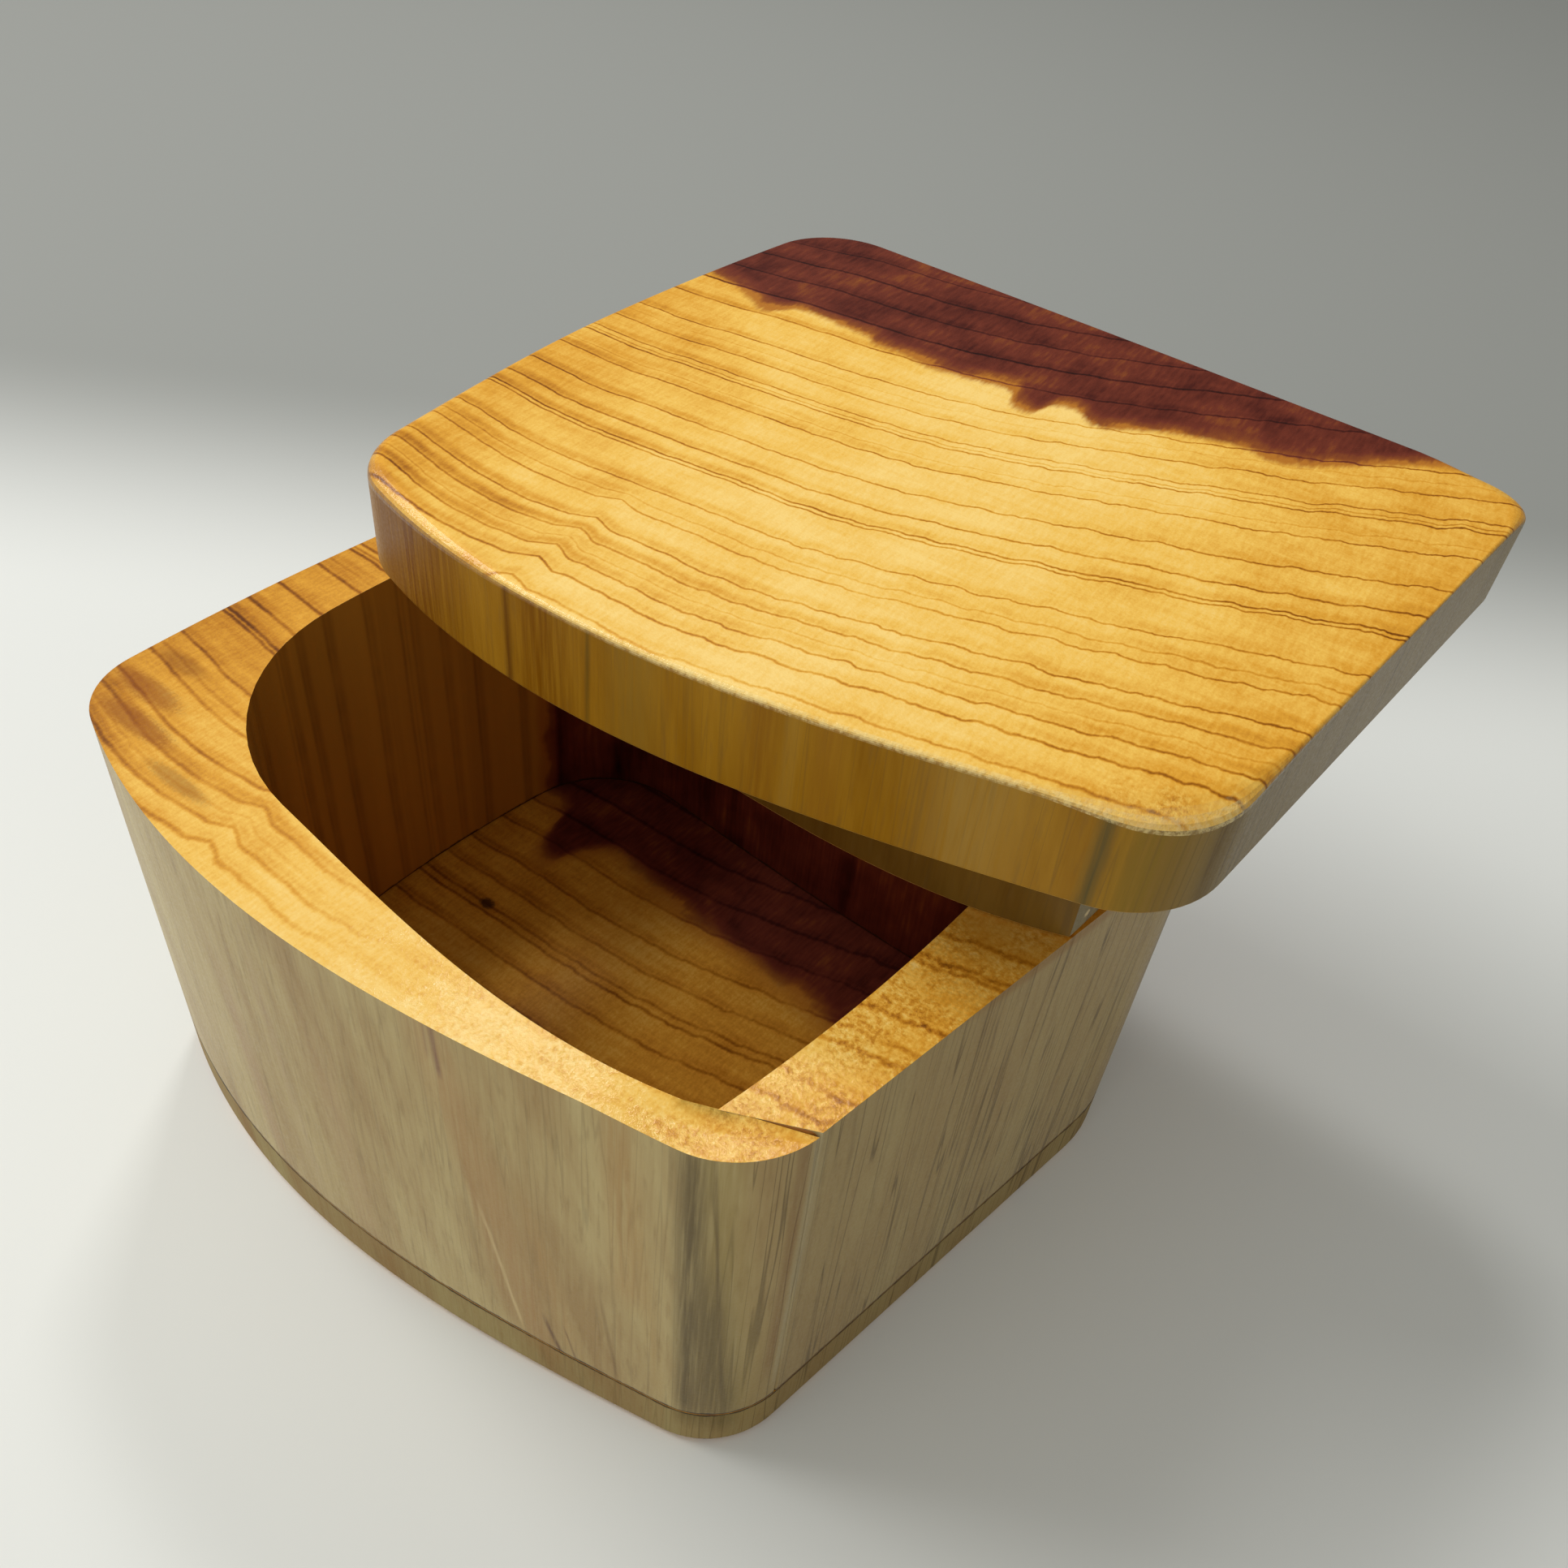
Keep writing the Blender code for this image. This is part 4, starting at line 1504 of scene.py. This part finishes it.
    def cut_rim_for_step(self, shape: bmesh.types.BMesh) -> None:
        """Give the flat rim in front of the kerf enough faces to slope down to the kerf.

        Args:
            shape: The wall's solid.
        """
        along = self.kerf_way
        ahead = Vector((along.y, -along.x))
        cuts = [(ENTRY + ahead * distance, ahead) for distance in self.cuts_ahead]
        cuts += [(ENTRY + along * distance, along) for distance in self.cuts_along]
        for place, facing in cuts:
            rim = [face for face in shape.faces if face.normal.z > LEVEL]
            parts = {part for face in rim for part in (face, *face.edges, *face.verts)}
            middle, normal = (place.x * MM, place.y * MM, 0.0), (facing.x, facing.y, 0.0)
            bmesh.ops.bisect_plane(shape, geom=list(parts), plane_co=middle, plane_no=normal)

    def step_down(self, shape: bmesh.types.BMesh) -> None:
        """Lower the rim in front of the kerf a little, since its two sides didn't close level.

        Args:
            shape: The wall's solid.
        """
        for vert in shape.verts:
            along, ahead = self.kerf_frame(vert.co)
            if vert.co.z < (RIM_HEIGHT - self.step_height) * MM or ahead < 0.0:
                continue
            fade = max(0.0, 1.0 - math.hypot(min(along, 0.0), ahead) / self.step_reach)
            vert.co.z -= self.step_at(along) * eased(fade) * MM

    def build_kerf_glue(self, glue: bpy.types.Material) -> bpy.types.Object:
        """Make the glue that fills the kerf, sloping from the higher back side to the lowered front one.

        Args:
            glue: Its material.

        Returns:
            The piece.
        """
        top = RIM_HEIGHT - self.kerf_glue_low
        shape = raised(self.kerf_ends(self.glue_depth)[0], WALL_BOTTOM, top)
        outer = max(edges_at(shape, top), key=lambda edge: sum(vert.co.x for vert in edge.verts))
        for vert in shape.verts:
            along, ahead = self.kerf_frame(vert.co)
            if vert.co.z > top * MM / 2.0 and ahead > 0.0:
                vert.co.z -= self.step_at(along) * MM
        soften(shape, [outer], self.rim_arris, self.arris_facets)
        return add_piece("kerf_glue", shape, glue, Role("box", "dried_glue", "kerf_glue_seam"))


@dataclass(frozen=True)
class Sanding:
    """A stretch of the lid's top arris that was sanded rounder, or left crisper, than the rest.

    Attributes:
        place: Its middle in the uncut block.
        reach: How far it reaches round that.
        inward: How far in the rounding goes on the top.
        down: How far down it goes on the side.
    """

    place: tuple[float, float]
    reach: float
    inward: float
    down: float


@dataclass(frozen=True)
class Lid:
    """The loose lid: a slice off the block's top, with a slice of the core glued under it as a plug.

    Attributes:
        overhang: How far the lid stands out over the box when it is shut.
        top_arris: Rounding of the top arris where no sanding changes it.
        arris_facets: Its facets.
        arris_span: How far in the inner outline lies that the rounding is measured towards.
        sandings: Where it was sanded otherwise.
        under_arris: Rounding of the lower arris.
        under_facets: Its facets.
        plug_clearance: How far the plug is drawn in from the core's plan.
        plug_arris: Rounding of the plug's lower arris.
        plug_facets: Its facets.
        glue_inset: How far the film of glue is drawn in from the plug.
    """

    overhang: float = 1.2
    top_arris: float = 1.0
    arris_facets: int = 7
    arris_span: float = 6.5
    sandings: tuple[Sanding, ...] = (
        Sanding((-66.0, -50.0), 48.0, 3.2, 2.4),
        Sanding((61.0, 0.0), 60.0, 0.4, 0.4),
        Sanding((50.0, -54.0), 20.0, 6.2, 2.6),
        Sanding((64.0, 42.0), 14.0, 4.4, 2.0),
    )
    under_arris: float = 0.45
    under_facets: int = 3
    plug_clearance: float = 2.0
    plug_arris: float = 0.6
    plug_facets: int = 4
    glue_inset: float = 0.6

    def build_panel(self, wood: bpy.types.Material) -> bpy.types.Object:
        """Make the lid panel with its rounded top arris and its crisper lower one.

        Args:
            wood: Its material.

        Returns:
            The piece.
        """
        shape = raised(LID_PLAN.outline(SKIN - self.overhang), LID_BOTTOM, LID_TOP)
        soften(shape, edges_at(shape, LID_BOTTOM), self.under_arris, self.under_facets)
        self.round_top(shape)
        return add_piece("lid_slice", posed(shape), wood, Role("lid", "lid_wood", "lid_panel"))

    def arris_at(self, place: Vector) -> tuple[float, float]:
        """Measure the top arris's rounding beside one point of the outline.

        Args:
            place: The point.

        Returns:
            How far the rounding goes inward, and how far down.
        """
        inward = down = self.top_arris
        for sanding in self.sandings:
            away = (place - Vector(sanding.place)).length / sanding.reach
            share = eased(max(0.0, 1.0 - away))
            inward += (sanding.inward - inward) * share
            down += (sanding.down - down) * share
        return inward, down

    def round_top(self, shape: bmesh.types.BMesh) -> None:
        """Round the top arris in small steps, as unevenly as a hand sands it.

        Args:
            shape: The lid's solid, whose top is one face.
        """
        outer = LID_PLAN.outline(SKIN - self.overhang)
        inner = LID_PLAN.outline(SKIN - self.overhang + self.arris_span)
        amounts = [self.arris_at(point) for point in outer]
        top = max(shape.faces, key=lambda face: face.calc_center_median().z)
        # Each new ring of points keeps the numbers of the outline's points that it came from
        number = shape.verts.layers.int.new("number")
        for vert in top.verts:
            place = Vector(vert.co.xy) / MM
            vert[number] = min(range(len(outer)), key=lambda i: (outer[i] - place).length_squared)
        for step in range(self.arris_facets + 1):
            if step:
                lifted = bmesh.ops.extrude_face_region(shape, geom=[top])["geom"]
                top = next(item for item in lifted if isinstance(item, bmesh.types.BMFace))
            turn = math.pi / 2.0 * step / self.arris_facets
            for vert in top.verts:
                inward, down = amounts[vert[number]]
                share = inward * (1.0 - math.cos(turn)) / self.arris_span
                place = outer[vert[number]].lerp(inner[vert[number]], share)
                vert.co = (place.x * MM, place.y * MM, (LID_TOP - down * (1.0 - math.sin(turn))) * MM)
        shape.verts.layers.int.remove(number)

    def build_glue(self, glue: bpy.types.Material) -> bpy.types.Object:
        """Make the film of glue between panel and plug.

        Args:
            glue: Its material.

        Returns:
            The piece.
        """
        shape = raised(CORE_PLAN.outline(self.plug_clearance + self.glue_inset), PLUG_TOP, LID_BOTTOM)
        return add_piece("plug_glue", posed(shape), glue, Role("lid", "dried_glue", "plug_glue_film"))

    def build_plug(self, wood: bpy.types.Material) -> bpy.types.Object:
        """Make the plug, eased round its lower edge.

        Args:
            wood: Its material.

        Returns:
            The piece.
        """
        shape = raised(CORE_PLAN.outline(self.plug_clearance), PLUG_BOTTOM, PLUG_TOP)
        soften(shape, edges_at(shape, PLUG_BOTTOM), self.plug_arris, self.plug_facets)
        return add_piece("plug_slice", posed(shape), wood, Role("lid", "plug_wood", "lid_plug"))


# Studio


@dataclass(frozen=True)
class SoftLight:
    """A square soft light that looks at the box.

    Attributes:
        name: The light's name.
        place: Where it hangs, in metres.
        size: Its side, in metres.
        watts: Its power.
        target: What it looks at, in metres.
    """

    name: str
    place: Triple
    size: float
    watts: float
    target: Triple = (0.0, 0.0, 0.06)

    def make(self) -> None:
        """Hang the light and turn it to the box."""
        lamp = bpy.data.lights.new(self.name, "AREA")
        lamp.size = self.size
        lamp.energy = self.watts
        holder = bpy.data.objects.new(self.name, lamp)
        holder.location = self.place
        away = Vector(self.place) - Vector(self.target)
        holder.rotation_euler = away.to_track_quat("Z", "Y").to_euler()
        bpy.context.collection.objects.link(holder)


@dataclass(frozen=True)
class Studio:
    """A plain pale floor, soft light and the camera at the photograph's angle.

    Attributes:
        camera_place: Where the camera stands, in metres.
        heading: How far it is turned to its left.
        tilt: How far it is raised from looking straight down.
        roll: How far it is turned about its own axis.
        focal_pixels: Its focal length, in pixels of the photograph.
        frame_pixels: The photograph's width.
        sensor_mm: The sensor's width.
        near_clip: The nearest distance that it sees, in metres.
        floor_reach: Half the floor's side, in metres.
        floor_gap: How far the floor lies below the base, in metres.
        room_light: The room's least and greatest strength.
        room_brightest: The direction from which its light is strongest.
        lights: The soft lights.
    """

    camera_place: Triple = (0.09113, -0.12115, 0.2)
    heading: float = math.radians(32.86)
    tilt: float = math.radians(47.27)
    roll: float = math.radians(6.54)
    focal_pixels: float = 1700.0
    frame_pixels: float = 1932.0
    sensor_mm: float = 36.0
    near_clip: float = 0.01
    floor_reach: float = 4.0
    floor_gap: float = 0.0002
    room_light: tuple[float, float] = (0.12, 0.88)
    room_brightest: Triple = (0.0, -0.8, 0.6)
    lights: tuple[SoftLight, ...] = (
        SoftLight("window_light", (-1.50, -0.32, 1.52), 1.1, 27.0),
        SoftLight("ceiling_light", (-0.40, 0.42, 0.87), 0.15, 2.2),
    )

    def build(self) -> None:
        """Set the whole studio up."""
        self.set_floor()
        self.set_world()
        for light in self.lights:
            light.make()
        self.set_camera()
        bpy.context.scene.view_settings.view_transform = "Standard"

    def set_floor(self) -> None:
        """Lay a large pale floor just under the box, with a matt laminate finish."""
        shape = bmesh.new()
        bmesh.ops.create_grid(shape, x_segments=1, y_segments=1, size=self.floor_reach)
        bmesh.ops.translate(shape, verts=shape.verts, vec=(0.0, 0.0, -self.floor_gap))
        mesh = bpy.data.meshes.new("floor")
        shape.to_mesh(mesh)
        shape.free()
        mesh.materials.append(LaminateFinish("pale_matt_laminate", "#E1E2DD", "#93948F", self.heading).make())
        floor = bpy.data.objects.new("floor", mesh)
        bpy.context.collection.objects.link(floor)

    def set_world(self) -> None:
        """Fill the room with plain pale grey light, most of it from above and from the front."""
        world = bpy.data.worlds.new("pale_room")
        world.use_nodes = True
        tree = world.node_tree
        tree.nodes.clear()
        towards = add_node(tree, COORDS, {}, "Generated")
        facing = add_node(tree, VECTOR, {0: towards, 1: self.room_brightest}, "Value", **DOT)
        low, high = self.room_light
        strength = add_node(tree, RANGE, {"Value": facing, "From Min": -0.1, "To Min": low, "To Max": high})
        sky = add_node(tree, "ShaderNodeBackground", {0: linear("#F4F5F2"), 1: strength})
        add_node(tree, "ShaderNodeOutputWorld", {0: sky})
        bpy.context.scene.world = world

    def set_camera(self) -> None:
        """Put the camera where the photograph was taken from."""
        camera = bpy.data.cameras.new("camera")
        camera.sensor_fit = "HORIZONTAL"
        camera.sensor_width = self.sensor_mm
        camera.lens = self.focal_pixels / self.frame_pixels * self.sensor_mm
        camera.clip_start = self.near_clip
        camera.dof.use_dof = False
        holder = bpy.data.objects.new("camera", camera)
        place = Matrix.Translation(self.camera_place)
        for angle, axis in ((self.heading, "Z"), (self.tilt, "X"), (self.roll, "Z")):
            place = place @ Matrix.Rotation(angle, 4, axis)
        holder.matrix_world = place
        bpy.context.collection.objects.link(holder)
        bpy.context.scene.camera = holder


def main() -> None:
    """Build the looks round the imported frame, and report each piece."""
    logging.basicConfig(level=logging.INFO, format="%(name)s: %(message)s")
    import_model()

    joint_glue = JOINT_GLUE.make()
    body, lid = BoxBody(), Lid()
    pieces = (
        body.build_base(BASE_CEDAR.make()),
        body.build_glue_line(joint_glue),
        body.build_wall(WALL_CEDAR.make()),
        body.build_kerf_glue(KERF_GLUE.make()),
        lid.build_panel(LID_CEDAR.make()),
        lid.build_glue(joint_glue),
        lid.build_plug(PLUG_CEDAR.make()),
    )
    for piece in pieces:
        log.info("%s has %d faces", piece.name, len(piece.data.polygons))
    Studio().build()


if __name__ == "__main__":
    main()
